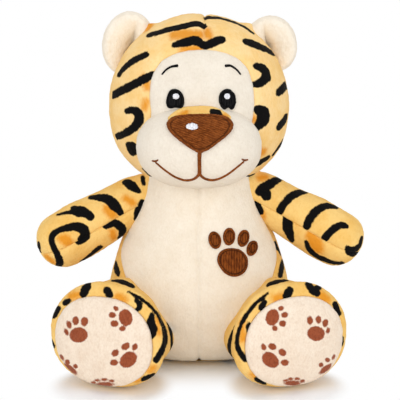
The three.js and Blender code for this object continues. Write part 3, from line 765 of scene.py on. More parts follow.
def toward_head(pixel):
    """The direction, on a ball, of the head's surface behind a pixel."""
    start = (CAMERA_SPOT - HEAD_MIDDLE) / HEAD_HALF
    step = line_of_sight(pixel) / HEAD_HALF
    approach, stride, outside = start @ step, step @ step, start @ start - 1
    return start + step * (-approach - math.sqrt(max(approach**2 - stride * outside, 0))) / stride


def between(first, last, share):
    """Directions part of the way round a ball from first to last."""
    angle = np.arccos(np.clip((first * last).sum(axis=-1, keepdims=True), -1, 1))
    swing = np.maximum(np.sin(angle), ONE_POINT)
    return (np.sin((1 - share) * angle) * first + np.sin(share * angle) * last) / swing


face_edge = np.array([toward_head(pixel) for pixel in smooth_loop(FACE_OUTLINE, HEAD_COLUMNS)])
face_middle = np.broadcast_to(toward_head(FACE_PIXEL_MIDDLE), face_edge.shape)
head_back = np.broadcast_to(np.array((0.0, 1.0, 0.0)), face_edge.shape)


def head_rings(first, last, count):
    """Rings of the head's surface, from first to last."""
    return np.array([head_skin_at(between(first, last, share)) for share in np.linspace(0, 1, count)])


face_rows = head_rings(face_middle, face_edge, FACE_RINGS)
face_run = run_of(face_rows, 0)
face_pull = seam_pull(face_run[-1:] - face_run, *FACE_SEAM)
face_plush = plush_finish("face_plush", FACE_CREAM, FACE_CREAM_SHADE)
face = plush("face", face_rows, face_plush, closed=True, pull=face_pull, lump=0.3, turn_in=("last row",))
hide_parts("face_panel")
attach(face, "head")

crown_rows = head_rings(face_edge, head_back, CROWN_RINGS)
crown_rows[-1] = crown_rows[-1].mean(axis=0)
crown_run = run_of(crown_rows, 0)
from_parting = np.linalg.norm(crown_rows - crown_rows[:, :1], axis=2)
crown_pull = seam_pull(crown_run, *FACE_SEAM) + seam_pull(from_parting, *PARTING_SEAM)
for tent in EAR_TENTS:
    from_tent = np.linalg.norm(crown_rows - tent, axis=2)
    crown_pull -= EAR_TENT_LIFT * np.exp(-((from_tent / EAR_TENT_REACH) ** 2))
crown_pull[-len(CROWN_BACK_EASE) :] *= np.array(CROWN_BACK_EASE)[:, None]
crown_plush = print_finish("crown_plush", CROWN_PALE, CROWN_GOLD)
crown = plush(
    "crown", crown_rows, crown_plush, closed=True, pull=crown_pull, lump=0.4, turn_in=("first row",)
)
CROWN_STROKES = [
    ((4.5, 6, 6.5, 6.5, 6.5), (148.5, 35.5), (165, 30.5), (182, 26.5), (197, 23.5), (204, 26.5)),
    ((5, 5.5, 6, 6, 5), (206, 17.5), (220, 18), (235, 22.5), (245, 27.5), (252.5, 32.5)),
    ((6, 8.5, 9, 8), (174.5, 45), (184, 42.5), (196, 40.5), (203, 45)),
    (8, (205, 46), (212, 43), (222, 39.5)),
    ((8, 9, 7, 4), (246, 41.5), (255, 44.5), (267, 49.5), (274, 54)),
    ((4.5, 6, 6.5, 6), (119, 75), (123, 69), (132, 61.5), (146, 54.5)),
    (8, (113.5, 95), (134, 84.5), (153, 74.5)),
    ((6.5, 8, 9, 9, 8, 7), (127.5, 111), (135, 110.5), (139, 115.5), (138, 122.5), (130, 130.5), (117, 137)),
    (10.5, (129, 146.5), (135, 149), (131, 152)),
    (6, (145, 169), (151, 176)),
    ((7, 9.5, 10, 9, 7), (256.5, 66), (264, 69.5), (266.5, 76), (261.5, 82), (255, 84.5)),
    (7, (278.5, 93), (286, 84.5)),
    ((10, 12.5, 12.5, 9), (258, 109.5), (263, 112.5), (263, 119.5), (257, 126.5)),
    (8, (279, 127), (287, 117)),
    (5, (274, 154), (283, 141)),
    (7.5, (257, 164.5), (267.5, 158)),
    (4.5, (242, 179), (254, 175.5)),
]
CROWN_PATCHES = [
    (9, (147, 30), (151, 22)),
    (9, (256, 31), (251, 22)),
    (12, (174, 35), (199, 35)),
    (8, (182, 49), (200, 48)),
    (9, (207, 30), (209, 38)),
    (9, (144, 78), (147, 88)),
    (9, (253, 119), (256, 121)),
    (9, (260, 152), (264, 152)),
    (7, (146, 101), (144, 108)),
]
print_marks(
    crown, CROWN_STROKES, CROWN_PATCHES, seed=11, marks=34,
    hidden=lambda spots: spots[:, 1] > CROWN_HIDDEN_FROM,
)
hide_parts("crown_panel_left", "crown_panel_right")
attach(crown, "head")

# The muzzle is a wide cream pillow sewn on the lower face, drawn in down its middle by the mouth
# stitching. A small crescent of printed plush is let in above the nose.
MUZZLE_MIDDLE = np.array((0, -45, 144.5))
MUZZLE_HALF = (39, 27, 26)
MUZZLE_SQUARE = 2.25
MUZZLE_RINGS = 56
MUZZLE_COLUMNS = 180
MUZZLE_SWEEP = math.radians(112)
CREASE_DEPTH = 1.9
CREASE_REACH = 3.2
CREASE_TOP = 146
CREASE_TOP_FADE = 8
CREASE_FOOT = 121
CREASE_FOOT_FADE = 7
BRIDGE_OUTLINE = [
    (168, 120), (171.5, 115), (179, 110), (189, 107), (200, 106.4), (211, 107.5), (220, 110.4),
    (228, 115), (231, 119), (222, 120.5), (200, 120.5), (179, 120.5),
]
BRIDGE_LIFT = 1.2
BRIDGE_PITCH = 40
BRIDGE_BORDER = 6
BRIDGE_STROKES = [(8, (213.5, 111.5), (217, 113), (219, 117))]
BRIDGE_PATCHES = [(8, (180, 116), (186, 113)), (6, (224, 116), (226, 117))]

muzzle_turn = np.linspace(0, 2 * math.pi, MUZZLE_COLUMNS, endpoint=False)[None, :]
muzzle_sweep = np.linspace(0, MUZZLE_SWEEP, MUZZLE_RINGS)[:, None]
muzzle_square = squared(muzzle_turn, MUZZLE_SQUARE)
muzzle_rows = MUZZLE_MIDDLE + np.stack(
    [
        MUZZLE_HALF[0] * np.sin(muzzle_sweep) * np.cos(muzzle_turn) * muzzle_square,
        -MUZZLE_HALF[1] * np.cos(muzzle_sweep) + 0 * muzzle_turn,
        MUZZLE_HALF[2] * np.sin(muzzle_sweep) * np.sin(muzzle_turn) * muzzle_square,
    ],
    axis=-1,
)
muzzle_up = muzzle_rows[..., 2]
below_nose = np.clip((CREASE_TOP - muzzle_up) / CREASE_TOP_FADE, 0, 1)
above_chin = np.clip((muzzle_up - CREASE_FOOT) / CREASE_FOOT_FADE, 0, 1)
crease = CREASE_DEPTH * np.exp(-((muzzle_rows[..., 0] / CREASE_REACH) ** 2))
muzzle_pull = crease * (below_nose * above_chin)
muzzle = plush("muzzle", muzzle_rows, face_plush, closed=True, pull=muzzle_pull, lump=0.3)
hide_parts("muzzle_panel_left", "muzzle_panel_right")
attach(muzzle, "head")

front_skin = skin_of(face, muzzle)
bridge = stitched_patch(
    "bridge", front_skin, BRIDGE_OUTLINE, BRIDGE_LIFT, print_plush, pitch=BRIDGE_PITCH, border=BRIDGE_BORDER
)
print_marks(bridge, BRIDGE_STROKES, BRIDGE_PATCHES)
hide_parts("muzzle_bridge_panel")
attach(bridge, "head")

# Nose, mouth, eyes and brows are machine embroidery: thread rows sewn through the plush, with satin
# borders, and white stitches for the glints.
NOSE_OUTLINE = [
    (200, 116.2), (214, 116.6), (226, 118.6), (232, 123.5), (232.4, 129), (227, 136), (217.5, 143.5),
    (208.5, 149.6), (200, 152.4), (191, 149.2), (181.5, 142.5), (172.5, 135), (167.6, 128.5), (168, 123),
    (174, 118.5), (186, 116.6),
]
NOSE_BROWN = (0.125, 0.029, 0.0040)
NOSE_BROWN_LIGHT = (0.275, 0.076, 0.0140)
GLINT_BORDER = 20.0
GLINT_RINGS = 14
NOSE_LIFT = 2.3
NOSE_BORDER = 3.8
NOSE_LEAN = 20
NOSE_PITCH = 1.9
NOSE_TWIST = (0.4, 0.4, 1.3)
NOSE_GLINT = ((192, 126.7), 6.2, 3.1, 4)
NOSE_GLINT_LIFT = 0.7
EYE_LIFT = 1.3
EYE_GLINT_LIFT = 0.5
MOUTH_LIFT = 1.2
BROW_LIFT = 1.0
LINE_STEPS = 14
LINE_COLUMNS = 9
LINE_SINK = 0.25
LINE_ENDS = (0.15, 0.7, 1.0)
STITCH_LONG = 1.16
STITCH_SHORT = 0.94
THREAD_BLACK = (0.003, 0.003, 0.0035)
THREAD_BLACK_LIGHT = (0.013, 0.0125, 0.0135)
THREAD_WHITE = (0.93, 0.93, 0.95)
THREAD_WHITE_SHADE = (0.68, 0.69, 0.76)
EYES = {
    "eye_right": (
        [
            (175.5, 88.8), (180, 90.8), (183.3, 95.3), (184.4, 101), (183.6, 105.6), (181, 108.4),
            (176, 107.8), (171, 108.6), (168, 107.6), (166.5, 104), (166.6, 98.5), (168.4, 93), (171.4, 89.9),
        ],
        ((176, 96.4), 3.4, 3.0),
    ),
    "eye_left": (
        [
            (227, 88.8), (231.5, 90.8), (234.6, 95.3), (235.6, 101.5), (234.5, 107), (231.3, 109.8),
            (228.3, 107.8), (224.3, 109.4), (220.6, 106.5), (218.8, 101), (219.2, 95), (222.2, 90.7),
        ],
        ((227.2, 96.3), 3.1, 3.0),
    ),
}
BROWS = {
    "brow_right": ([(161.6, 75), (165.8, 70.2), (171.4, 66.8), (178.6, 65.6)], [1.6, 2.2, 2.6, 3.6]),
    "brow_left": ([(224.6, 66.0), (230.5, 65.8), (236, 69.2), (241, 75)], [3.6, 2.6, 2.2, 1.6]),
}
MOUTH_LINES = [
    ([(199.6, 151), (199.4, 160), (199.6, 168), (199.5, 175)], [4.6, 4.2, 4.2, 4.6]),
    (
        [(199.5, 174), (194, 178.6), (185.5, 180), (175, 176.6), (164.5, 169.5), (155, 161.8)],
        [3.6, 3.4, 3, 2.4, 2, 1.6],
    ),
    (
        [(199.5, 174), (205, 178.4), (213.5, 179.8), (224, 176.2), (234.5, 169), (244.5, 160.8)],
        [3.6, 3.4, 3, 2.4, 2, 1.6],
    ),
    ([(152, 160.6), (155.2, 161.2), (158.4, 159.8)], [1.4, 2.0, 1.2]),
    ([(241.5, 159), (244.6, 160.2), (247.8, 159.4)], [1.2, 2.0, 1.4]),
]

face_skin = skin_of(face, muzzle, bridge)
nose_thread = thread_finish(
    "nose_thread", NOSE_BROWN_LIGHT, NOSE_BROWN, border=NOSE_BORDER, slant=NOSE_TWIST, gloss=0.07
)
black_thread = thread_finish("black_thread", THREAD_BLACK_LIGHT, THREAD_BLACK, gloss=0.04)
# The white thread's border lies wider than any glint, so no painted groove shade shows on the glints.
white_thread = thread_finish("white_thread", THREAD_WHITE, THREAD_WHITE_SHADE, border=GLINT_BORDER)

muzzle_skin = skin_of(muzzle)
nose = stitched_patch(
    "nose", muzzle_skin, NOSE_OUTLINE, NOSE_LIFT, nose_thread,
    lean=NOSE_LEAN, pitch=NOSE_PITCH, border=NOSE_BORDER, around=200, rings=60,
)
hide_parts("nose_patch")
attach(nose, "head")
glint_outline = oval_outline(*NOSE_GLINT)
nose_glint = stitched_patch(
    "nose_glint", skin_of(nose), glint_outline, NOSE_GLINT_LIFT, white_thread, rings=GLINT_RINGS
)
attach(nose_glint, "head")

for node, (outline, glint) in EYES.items():
    eye = stitched_patch(f"{node}_stitched", face_skin, outline, EYE_LIFT, black_thread)
    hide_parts(node)
    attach(eye, "head")
    shine_outline = oval_outline(*glint)
    shine = stitched_patch(
        f"{node}_glint", skin_of(eye), shine_outline, EYE_GLINT_LIFT, white_thread, rings=GLINT_RINGS
    )
    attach(shine, "head")


def stitched_line(name, skin, pixels, widths, lift, material):
    """A line of satin stitch along pixels, rounded across and ragged along its edges."""
    pixels = np.asarray(pixels, float)
    share = np.linspace(0, 1, len(pixels))
    fine = np.linspace(0, 1, LINE_STEPS * (len(pixels) - 1) + 1)
    path = smooth_path(pixels, share, fine)
    wide = flowing(share, widths)(fine)
    ahead = np.gradient(path, axis=0)
    ahead /= np.linalg.norm(ahead, axis=1, keepdims=True)
    aside = np.stack([-ahead[:, 1], ahead[:, 0]], axis=1)
    across = np.linspace(-1, 1, LINE_COLUMNS)
    rows = []
    for i, pixel in enumerate(path):
        ragged = STITCH_LONG if i % 2 else STITCH_SHORT
        from_end = min(i, len(path) - 1 - i)
        close = LINE_ENDS[min(from_end, len(LINE_ENDS) - 1)]
        point, normal = seen_at(skin, pixel)
        span = wide[i] / 2 * ragged * close * ((point - CAMERA_SPOT) @ CAMERA_AHEAD) / LENS_PIXELS
        right = aside[i, 0] * np.array((1.0, 0, 0)) - aside[i, 1] * CAMERA_UP
        right -= normal * (right @ normal)
        right /= np.linalg.norm(right)
        height = lift * close * np.sqrt(np.maximum(1 - across**2, 0)) - LINE_SINK
        rows.append(point + right * (across * span)[:, None] + normal * height[:, None])
    line = surface(name, np.array(rows), material)
    # Alternate stitches get opposite strand phase, which the thread finish turns into painted highlight and
    # painted shade on alternate stitches.
    keep_on(line, "strand", np.repeat(np.cos(math.pi * np.arange(len(path))), LINE_COLUMNS))
    return line


mouth_parts = [
    stitched_line(f"mouth_{number}", face_skin, pixels, widths, MOUTH_LIFT, nose_thread)
    for number, (pixels, widths) in enumerate(MOUTH_LINES, 1)
]
for line in mouth_parts:
    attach(line, "head")
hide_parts("mouth_stitching")
for node, (pixels, widths) in BROWS.items():
    brow = stitched_line(f"{node}_stitched", face_skin, pixels, widths, BROW_LIFT, black_thread)
    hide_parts(node)
    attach(brow, "head")

# Each ear is a flat stuffed cup: cream plush in front, printed plush behind, sewn round the rim, creased
# along its length where it is gathered, and sunk into the top of the head.
EAR_MIDDLE = {"left": np.array((47.4, 4.0, 204.9)), "right": np.array((-46.5, 4.0, 205.7))}
EAR_LEAN = math.radians(13)
EAR_HALF_WIDE = 17.1
EAR_HALF_TALL = {"left": 18.8, "right": 21.3}
EAR_SQUARE = 2.05
EAR_RINGS = 44
EAR_COLUMNS = 130
EAR_RING_CROWDING = 0.85
EAR_FRONT = flowing([0, 0.3, 0.6, 0.8, 0.92, 0.98, 1], [-5.0, -5.6, -6.1, -5.5, -3.4, 0.0, 2.8])
EAR_BACK = flowing([0, 0.4, 0.7, 0.9, 0.98, 1], [9.6, 9.3, 8.2, 6.0, 4.2, 2.8])
EAR_MARKS_BEHIND = 10.5
EAR_FOLD_DEPTH = {"front": 14.0, "back": 7.0}
EAR_FOLD_INWARD = 2.6
EAR_FOLD_OUTER_REACH = 4.5
EAR_FOLD_INNER_REACH = 1.8
EAR_FOLD_TOP = 16.0

ear_share = np.linspace(0, 1, EAR_RINGS)[:, None] ** EAR_RING_CROWDING
ear_turn = np.linspace(0, 2 * math.pi, EAR_COLUMNS, endpoint=False)[None, :]
ear_round = squared(ear_turn, EAR_SQUARE)
for side, sign in (("left", 1), ("right", -1)):
    ear_up = np.array((-sign * math.sin(EAR_LEAN), 0, math.cos(EAR_LEAN)))
    ear_aside = np.array((sign * math.cos(EAR_LEAN), 0, math.sin(EAR_LEAN)))
    aside = EAR_HALF_WIDE * ear_share * ear_round * np.cos(ear_turn)
    up = EAR_HALF_TALL[side] * ear_share * ear_round * np.sin(ear_turn)
    for face_name, profile, finish, slot_name in (
        ("front", EAR_FRONT, cream_plush, "cream_plush"),
        ("back", EAR_BACK, print_plush, "print_plush"),
    ):
        from_fold = aside + EAR_FOLD_INWARD
        reach = np.where(from_fold > 0, EAR_FOLD_OUTER_REACH, EAR_FOLD_INNER_REACH)
        below_top = np.clip((EAR_FOLD_TOP - up) / EAR_FOLD_TOP, 0, 1)
        fold = np.exp(-np.abs(from_fold) / reach) * below_top * (1 - ear_share**4)
        deep = profile(ear_share) + EAR_FOLD_DEPTH[face_name] * fold
        rows = EAR_MIDDLE[side] + aside[..., None] * ear_aside + up[..., None] * ear_up
        rows[..., 1] += deep
        rows[0] = rows[0].mean(axis=0)
        ear = plush(f"ear_{face_name}_{side}_plush", rows, finish, closed=True, lump=0.5)
        if face_name == "back":
            print_marks(ear, seed=21 + sign, marks=4, hidden=lambda spots: spots[:, 1] > EAR_MARKS_BEHIND)
        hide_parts(f"ear_{face_name}_{side}")
        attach(ear, f"ear_{side}")

# Each arm is a tube of printed plush in an upper and a lower half, sewn along the front and back and
# round the paw, stuffed firm and sewn into the shoulder so that it hangs out from the flank.
SHOULDER = np.array((53.39, -3.0, 100.0))
ARM_SAG = {"left": 1.3, "right": 3.2}
ARM_STRETCH = {"left": 1.03, "right": 1.0}
ARM_DROOP = math.radians(26)
ARM_FORWARD = math.radians(19)
ARM_PLACES = [-28, -18, -10, 0, 8, 20, 32, 41]
ARM_RADII = [14.0, 15.6, 16.4, 16.6, 17.0, 18.2, 18.8, 18.5]
ARM_ROOT_FORWARD = 0.010
ARM_ROOT_LENGTH = 6
ARM_TIP = 18.6
ARM_TIP_FULLNESS = 2.3
ARM_COLUMNS = 52
ARM_TUBE_ROWS = 54
ARM_TIP_ROWS = 22
ARM_SEAM = (1.1, 1.5)
ARM_SEAM_FADE = 6
ARM_HIDDEN_BEHIND = 4
ARM_HIDDEN_SLANT = 0.35
ARM_MARKS_CLEAR = 11
ARM_STROKES = {
    "right": [
        ((8.5, 9, 5.5), (126, 182), (132, 186), (138.5, 191)),
        (4, (142.6, 177.5), (143.8, 184)),
        ((6, 9, 7), (142.5, 202), (139.5, 210), (137, 218)),
        ((4, 6.5, 9.5, 10.5, 6), (90, 197.5), (98, 197), (108, 199.5), (115, 205.5), (121, 213.5)),
        ((1.8, 3, 5), (57.5, 214.5), (69, 212.5), (79, 214.5)),
        ((6, 9.5, 8), (73.5, 208.5), (83, 211.5), (91, 217)),
        ((8, 9.5, 9.5, 8.5, 7), (79, 241.5), (85, 235.5), (83.5, 229.5), (75, 226.5), (65, 228.5)),
        ((7, 6, 5.5, 5.5, 6), (65, 228.5), (57, 231.5), (51.5, 238), (53, 246), (57.5, 254)),
        ((6, 7, 6), (57.5, 254), (60, 262), (58, 267)),
        ((7.5, 8, 8, 7, 6), (106, 225.5), (113.5, 223), (121, 227), (122.5, 232.5), (120, 237.5)),
        ((3.5, 5, 6, 4), (75, 266), (86, 258.5), (95, 251.5), (101, 247)),
        (3.2, (38.4, 243), (39, 250), (42, 257)),
    ],
    "left": [
        ((6, 8.5, 10, 11), (280, 179), (272.5, 182.5), (264, 188), (260.5, 191.5)),
        (10.5, (264, 190), (266.5, 196)),
        ((5, 6.5, 7, 7.5, 8), (317.5, 192), (305.5, 191), (293.5, 195), (285, 202.5), (280, 211)),
        ((5, 7, 7.5, 8, 8), (336.5, 207), (327, 205.5), (316, 211), (309.5, 219.5), (306.5, 226.5)),
        ((5.5, 6.5, 7, 7.5), (346, 226), (340.5, 225), (331.5, 230.5), (325, 238)),
        ((11, 10, 7), (287.5, 218.5), (288, 229), (291, 240)),
        ((4.5, 5.5, 4.5, 3.5, 3), (306, 242), (311, 252), (321, 258.5), (333, 262.5), (343, 263.5)),
        (4, (362, 238), (360, 246)),
        ((7.5, 10, 9), (358, 247.5), (353, 251.5), (348.5, 250.5)),
        (4, (347.5, 249), (347, 247)),
        (6.5, (256.5, 203), (260.5, 212)),
    ],
}
ARM_PATCHES = {
    "right": [
        (11, (62, 238), (69, 242)),
        (11, (107, 208.5), (113, 214)),
        (8, (112, 232), (114, 238)),
        (8, (47, 257), (53, 263)),
        (9, (126, 198), (132, 203)),
    ],
    "left": [
        (14, (311, 236), (318, 248)),
        (8, (260, 178), (266, 177)),
        (6, (262, 212), (264, 217)),
    ],
}


def arm_radius(place):
    """The arm's radius along its length: a swelling tube, then a round paw."""
    tube = flowing(ARM_PLACES, ARM_RADII)(np.minimum(place, ARM_PLACES[-1]))
    past = np.clip((place - ARM_PLACES[-1]) / ARM_TIP, 0, 1)
    return tube * np.sqrt(np.maximum(1 - past**ARM_TIP_FULLNESS, 0))


def behind_arm(points):
    """Which points lie on the back of an arm, clear of the shoulder."""
    out = np.abs(points[:, 0]) - SHOULDER[0]
    behind = points[:, 1] - SHOULDER[1] > ARM_HIDDEN_BEHIND - ARM_HIDDEN_SLANT * out
    return behind & (out > -ARM_MARKS_CLEAR)


arm_tube = np.linspace(ARM_PLACES[0], ARM_PLACES[-1], ARM_TUBE_ROWS)
arm_tip = ARM_PLACES[-1] + ARM_TIP * np.sin(np.linspace(0, math.pi / 2, ARM_TIP_ROWS))[1:]
arm_run = np.concatenate([arm_tube, arm_tip])
for side, sign in (("left", 1), ("right", -1)):
    outward = np.array((math.cos(ARM_FORWARD), -math.sin(ARM_FORWARD), 0))
    along = math.cos(ARM_DROOP) * outward - math.sin(ARM_DROOP) * np.array((0, 0, 1))
    behind = np.array((math.sin(ARM_FORWARD), math.cos(ARM_FORWARD), 0))
    upward = np.cross(along, behind)
    mirror = np.array((sign, 1, 1))
    for half, start in (("upper", math.pi), ("lower", 0.0)):
        turn = np.linspace(start, start - math.pi, ARM_COLUMNS)[None, :]
        radius = arm_radius(arm_run)[:, None]
        rows = SHOULDER - (0, 0, ARM_SAG[side]) + (ARM_STRETCH[side] * arm_run)[:, None, None] * along
        rows[..., 1] -= ARM_ROOT_FORWARD * np.maximum(ARM_ROOT_LENGTH - arm_run, 0)[:, None] ** 2
        rows = rows + (radius * np.cos(turn))[..., None] * behind
        rows = rows + (radius * np.sin(turn))[..., None] * upward
        rows = rows * mirror
        rows[-1] = rows[-1].mean(axis=0)
        run = run_of(rows, 1)
        pull = seam_pull(run, *ARM_SEAM) + seam_pull(run[:, -1:] - run, *ARM_SEAM)
        pull[-ARM_SEAM_FADE:] *= np.linspace(1, 0, ARM_SEAM_FADE)[:, None]
        sleeve = plush(f"arm_{half}_{side}", rows, print_plush, pull=pull, lump=0.45, turn_in=("sides",))
        print_marks(sleeve, ARM_STROKES[side], ARM_PATCHES[side], seed=31 + sign, marks=6, hidden=behind_arm)
        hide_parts(f"arm_{half}_panel_{side}")
        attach(sleeve, f"arm_{side}")

# Each leg is a short stuffed thigh of printed plush that starts inside the body, a printed band round the
# foot, and a domed cream sole with paw prints, all sewn in rings. The feet rest on the floor and turn out.
HIP = np.array((42.92, -46.84, 31.8))
FOOT_TURN = math.radians(20)
FOOT_AHEAD = np.array((math.sin(FOOT_TURN), -math.cos(FOOT_TURN), 0))
FOOT_ASIDE = np.array((math.cos(FOOT_TURN), math.sin(FOOT_TURN), 0))
FOOT_FLOOR = 0.3
LEG_COLUMNS = 160
ANKLE_AT = 27.5
ANKLE_LAP = 1.4
SOLE_FROM = 44
LEG_PLACES = [-28, -23, -16, -6, 4, 14, 22, 26, 27.5, 30, 34, 38, 42, 44]
LEG_HALF_WIDE = [11, 17, 23, 28.5, 31, 31.2, 31, 30.4, 30.2, 33, 36.4, 37.6, 35.6, 32.8]
LEG_HALF_TALL = [12, 18, 24, 27.5, 28.9, 29.4, 29.7, 30, 30.2, 32.4, 34.8, 34.6, 31, 28.8]
LEG_HALF_LOW = [12, 18, 24, 27.5, 29.5, 31, 31.4, 31.4, 31.4, 31.4, 31, 30.2, 28.9, 28.6]
THIGH_ROWS = 48
BAND_ROWS = 22
SOLE_RINGS = 46
ANKLE_SEAM = (1.6, 2.0)
BAND_SEAM = (1.2, 1.6)
SOLE_SEAM = (0.8, 1.4)
THIGH_HIDDEN_FROM = 56
BAND_HIDDEN_FROM = -88
BAND_HIDDEN_SLANT = 0.36
LEG_SQUARE = 2.2
LEG_SQUARE_FADE = 6
HIP_REACH = 14
HIP_SPLAY = 4.0
HIP_SWELLS = [(-6.5, 132, 52, 4), (2.5, 87, 15, 2), (4.5, 207, 28, 2)]
SOLE_DOME = 7.5
SOLE_DOME_FULLNESS = 0.62
SOLE_CREAM = (0.890, 0.765, 0.630)
SOLE_CREAM_SHADE = (0.750, 0.585, 0.440)
SOLE_PRINT = (0.320, 0.076, 0.028)
SOLE_PRINT_DARK = (0.240, 0.050, 0.017)
SOLE_TINT = (1.0, 0.92, 0.84)
# Black lines along the crease between thigh and foot band, drawn on both pieces in the print's black ink, are
# painted shade of the crease.
CREASE_SHADE_STROKES = {
    "right": [
        ((2, 2.2, 2.5, 2.8), (128, 292), (138, 297), (149, 305), (158, 315)),
        ((2.8, 4, 5, 7), (158, 315), (164, 329), (165, 344), (156, 360)),
    ],
    "left": [
        ((2, 3.2, 3.4, 3), (268, 293), (255, 304), (247, 314), (241, 325)),
        ((3, 3, 4, 6.5), (241, 325), (237, 338), (238, 348), (245, 359.5)),
    ],
}
# Each thigh has a black print mark and a thin black line where it meets the belly; that line is painted
# shadow.
THIGH_PRINT_AND_SHADOW_STROKES = {
    "right": [
        ((7, 10, 9), (114.5, 280.5), (122, 281.5), (131, 285.5)),
        # painted shadow where the thigh meets the belly
        (2.5, (168, 322), (172, 338), (171, 352)),
    ],
    "left": [
        ((8, 8.5, 6), (269.5, 284), (277, 281.5), (286, 280)),
        # painted shadow where the thigh meets the belly
        (3, (240, 321), (233, 332), (229.6, 343), (230, 353), (238, 367)),
    ],
}
BAND_STROKES = {
    "right": [
        (8.5, (87.5, 284.5), (83.5, 293.5)),
        (5, (84, 288), (89, 287)),
        (7.5, (107, 290), (110, 295)),
        (5, (65, 303), (69, 300.5)),
        (6, (54, 316), (58, 308.5)),
        (4.5, (51, 338.5), (53, 345.5)),
        (4.5, (136.5, 300.5), (140, 306), (136.5, 310.5)),
        ((5, 8, 8, 5), (152, 315), (151, 322), (153.5, 329), (152, 337)),
        (6.5, (144, 379.5), (153, 376)),
        (3.5, (128, 380), (131, 379)),
    ],
    "left": [
        (7.5, (290, 290), (286, 296)),
        (6, (308, 284), (312, 289)),
        (7, (312, 290), (317, 293)),
        (4.5, (317, 287), (319.5, 288)),
        (6, (335, 304.5), (338.5, 314)),
        (4, (342, 337.5), (341, 345)),
        (5, (264.5, 302.5), (261, 308)),
        (4, (260, 308), (265, 311)),
        (4.5, (249.5, 324), (248, 328), (249.5, 334)),
        (5.5, (257, 379), (264, 383)),
    ],
}
BAND_PATCHES = {
    "right": [
        (9, (70, 297), (79, 294)),
        (9, (117, 296), (124, 299)),
        (6, (157, 319), (159, 333)),
        (6, (150, 371), (154, 367)),
        (6, (136, 381), (140, 380)),
    ],
    "left": [
        (9, (276, 298), (284, 296)),
        (9, (321, 294), (327, 300)),
        (7.5, (242, 322), (243, 340)),
        (6, (252, 375), (256, 378)),
    ],
}
SOLE_PAWS = {
    "right": [
        [
            (78.6, 335, 9, 7.6, -8), (66.4, 332, 2, 3.6, -25), (69, 324.6, 2.6, 4, -15),
            (75.6, 320.6, 3.2, 4.4, 0), (84.4, 321.6, 3.6, 4.8, 15),
        ],
        [
            (125.6, 317.6, 6.8, 8.4, -12), (116, 308.4, 2.8, 2.4, 25), (112.4, 315, 3.6, 3, 10),
            (114.6, 323.6, 4, 3.2, 0), (122.4, 328.6, 3.2, 2.8, -20),
        ],
        [
            (128.4, 359.6, 9.4, 7.2, -40), (114, 362.6, 4, 3.2, 0), (115.2, 353, 4, 3.2, -45),
            (125.6, 346.4, 4.6, 3.3, -30), (134.8, 347, 2.6, 3.7, 25),
        ],
        [
            (70.6, 368.9, 8.6, 2.6, 38), (62, 357.4, 1.7, 3.4, -35), (67.4, 362, 2.4, 2.8, -30),
            (75.3, 366.4, 2.6, 2.2, 30),
        ],
        [
            (105, 384.4, 9, 2.3, 0), (93.6, 382.6, 2.5, 1.7, 0), (97, 380.2, 2.6, 1.5, 0),
            (104.4, 379.6, 3.4, 1.5, 0), (112, 381, 2.8, 1.5, 0),
        ],
    ],
    "left": [
        [
            (272.4, 317.4, 6.6, 8.4, 15), (281, 308.4, 3, 2.4, -25), (284.6, 315, 3.4, 3, -10),
            (282.6, 323.6, 3.7, 3.2, 0), (274.8, 328.4, 2.8, 2.8, 0),
        ],
        [
            (316, 333.6, 8.8, 7.4, 8), (310, 320.4, 3, 4.4, -8), (318.4, 319.6, 2.8, 4, 0),
            (325.4, 323, 2.8, 4, 15), (328, 330.6, 1.9, 3.3, 20),
        ],
        [
            (270.4, 360, 9.4, 7, 40), (263.6, 347, 2.6, 3.5, -20), (272.4, 346.6, 4.2, 3.3, 15),
            (282.4, 352.4, 4.2, 3.3, 45), (284.8, 362.6, 4, 3.2, 0),
        ],
        [
            (325.6, 368.8, 7.6, 2.6, -38), (321.2, 364.8, 2.3, 2.3, 0), (327.6, 360, 2.6, 2.3, 0),
            (333.6, 356.8, 1.5, 2.8, 25),
        ],
        [
            (292.4, 383.2, 8.2, 2.5, 0), (285.6, 380.6, 2.2, 1.5, 0), (290.6, 378.8, 2.4, 1.4, 0),
            (297, 378.8, 2.8, 1.4, 0), (302.4, 381, 2.6, 1.6, 0),
        ],
    ],
}


def sole_finish():
    """Cream sole plush with reddish-brown paw prints, whose distance is kept on the mesh."""
    finish = soft_finish("sole_plush", SOLE_TINT)
    brushed = finish.step(finish.speckle(9, 3, shift=2.5), 0.3, 0.75)
    nap = finish.nap()
    ground = finish.blend(brushed * 0.35 + finish.step(nap, 0.35, 0.75) * 0.5, SOLE_CREAM, SOLE_CREAM_SHADE)
    ragged = (finish.speckle(1.3, 2, shift=2.0) - 0.5) * 1.1
    mask = 1 - finish.step(finish.printed("paw") + ragged, -0.35, 0.4)
    paw = finish.blend(finish.step(nap, 0.35, 0.7), SOLE_PRINT, SOLE_PRINT_DARK)
    return finish.dress(finish.blend(mask, ground, paw), finish.pile(nap))


sole_plush = sole_finish()


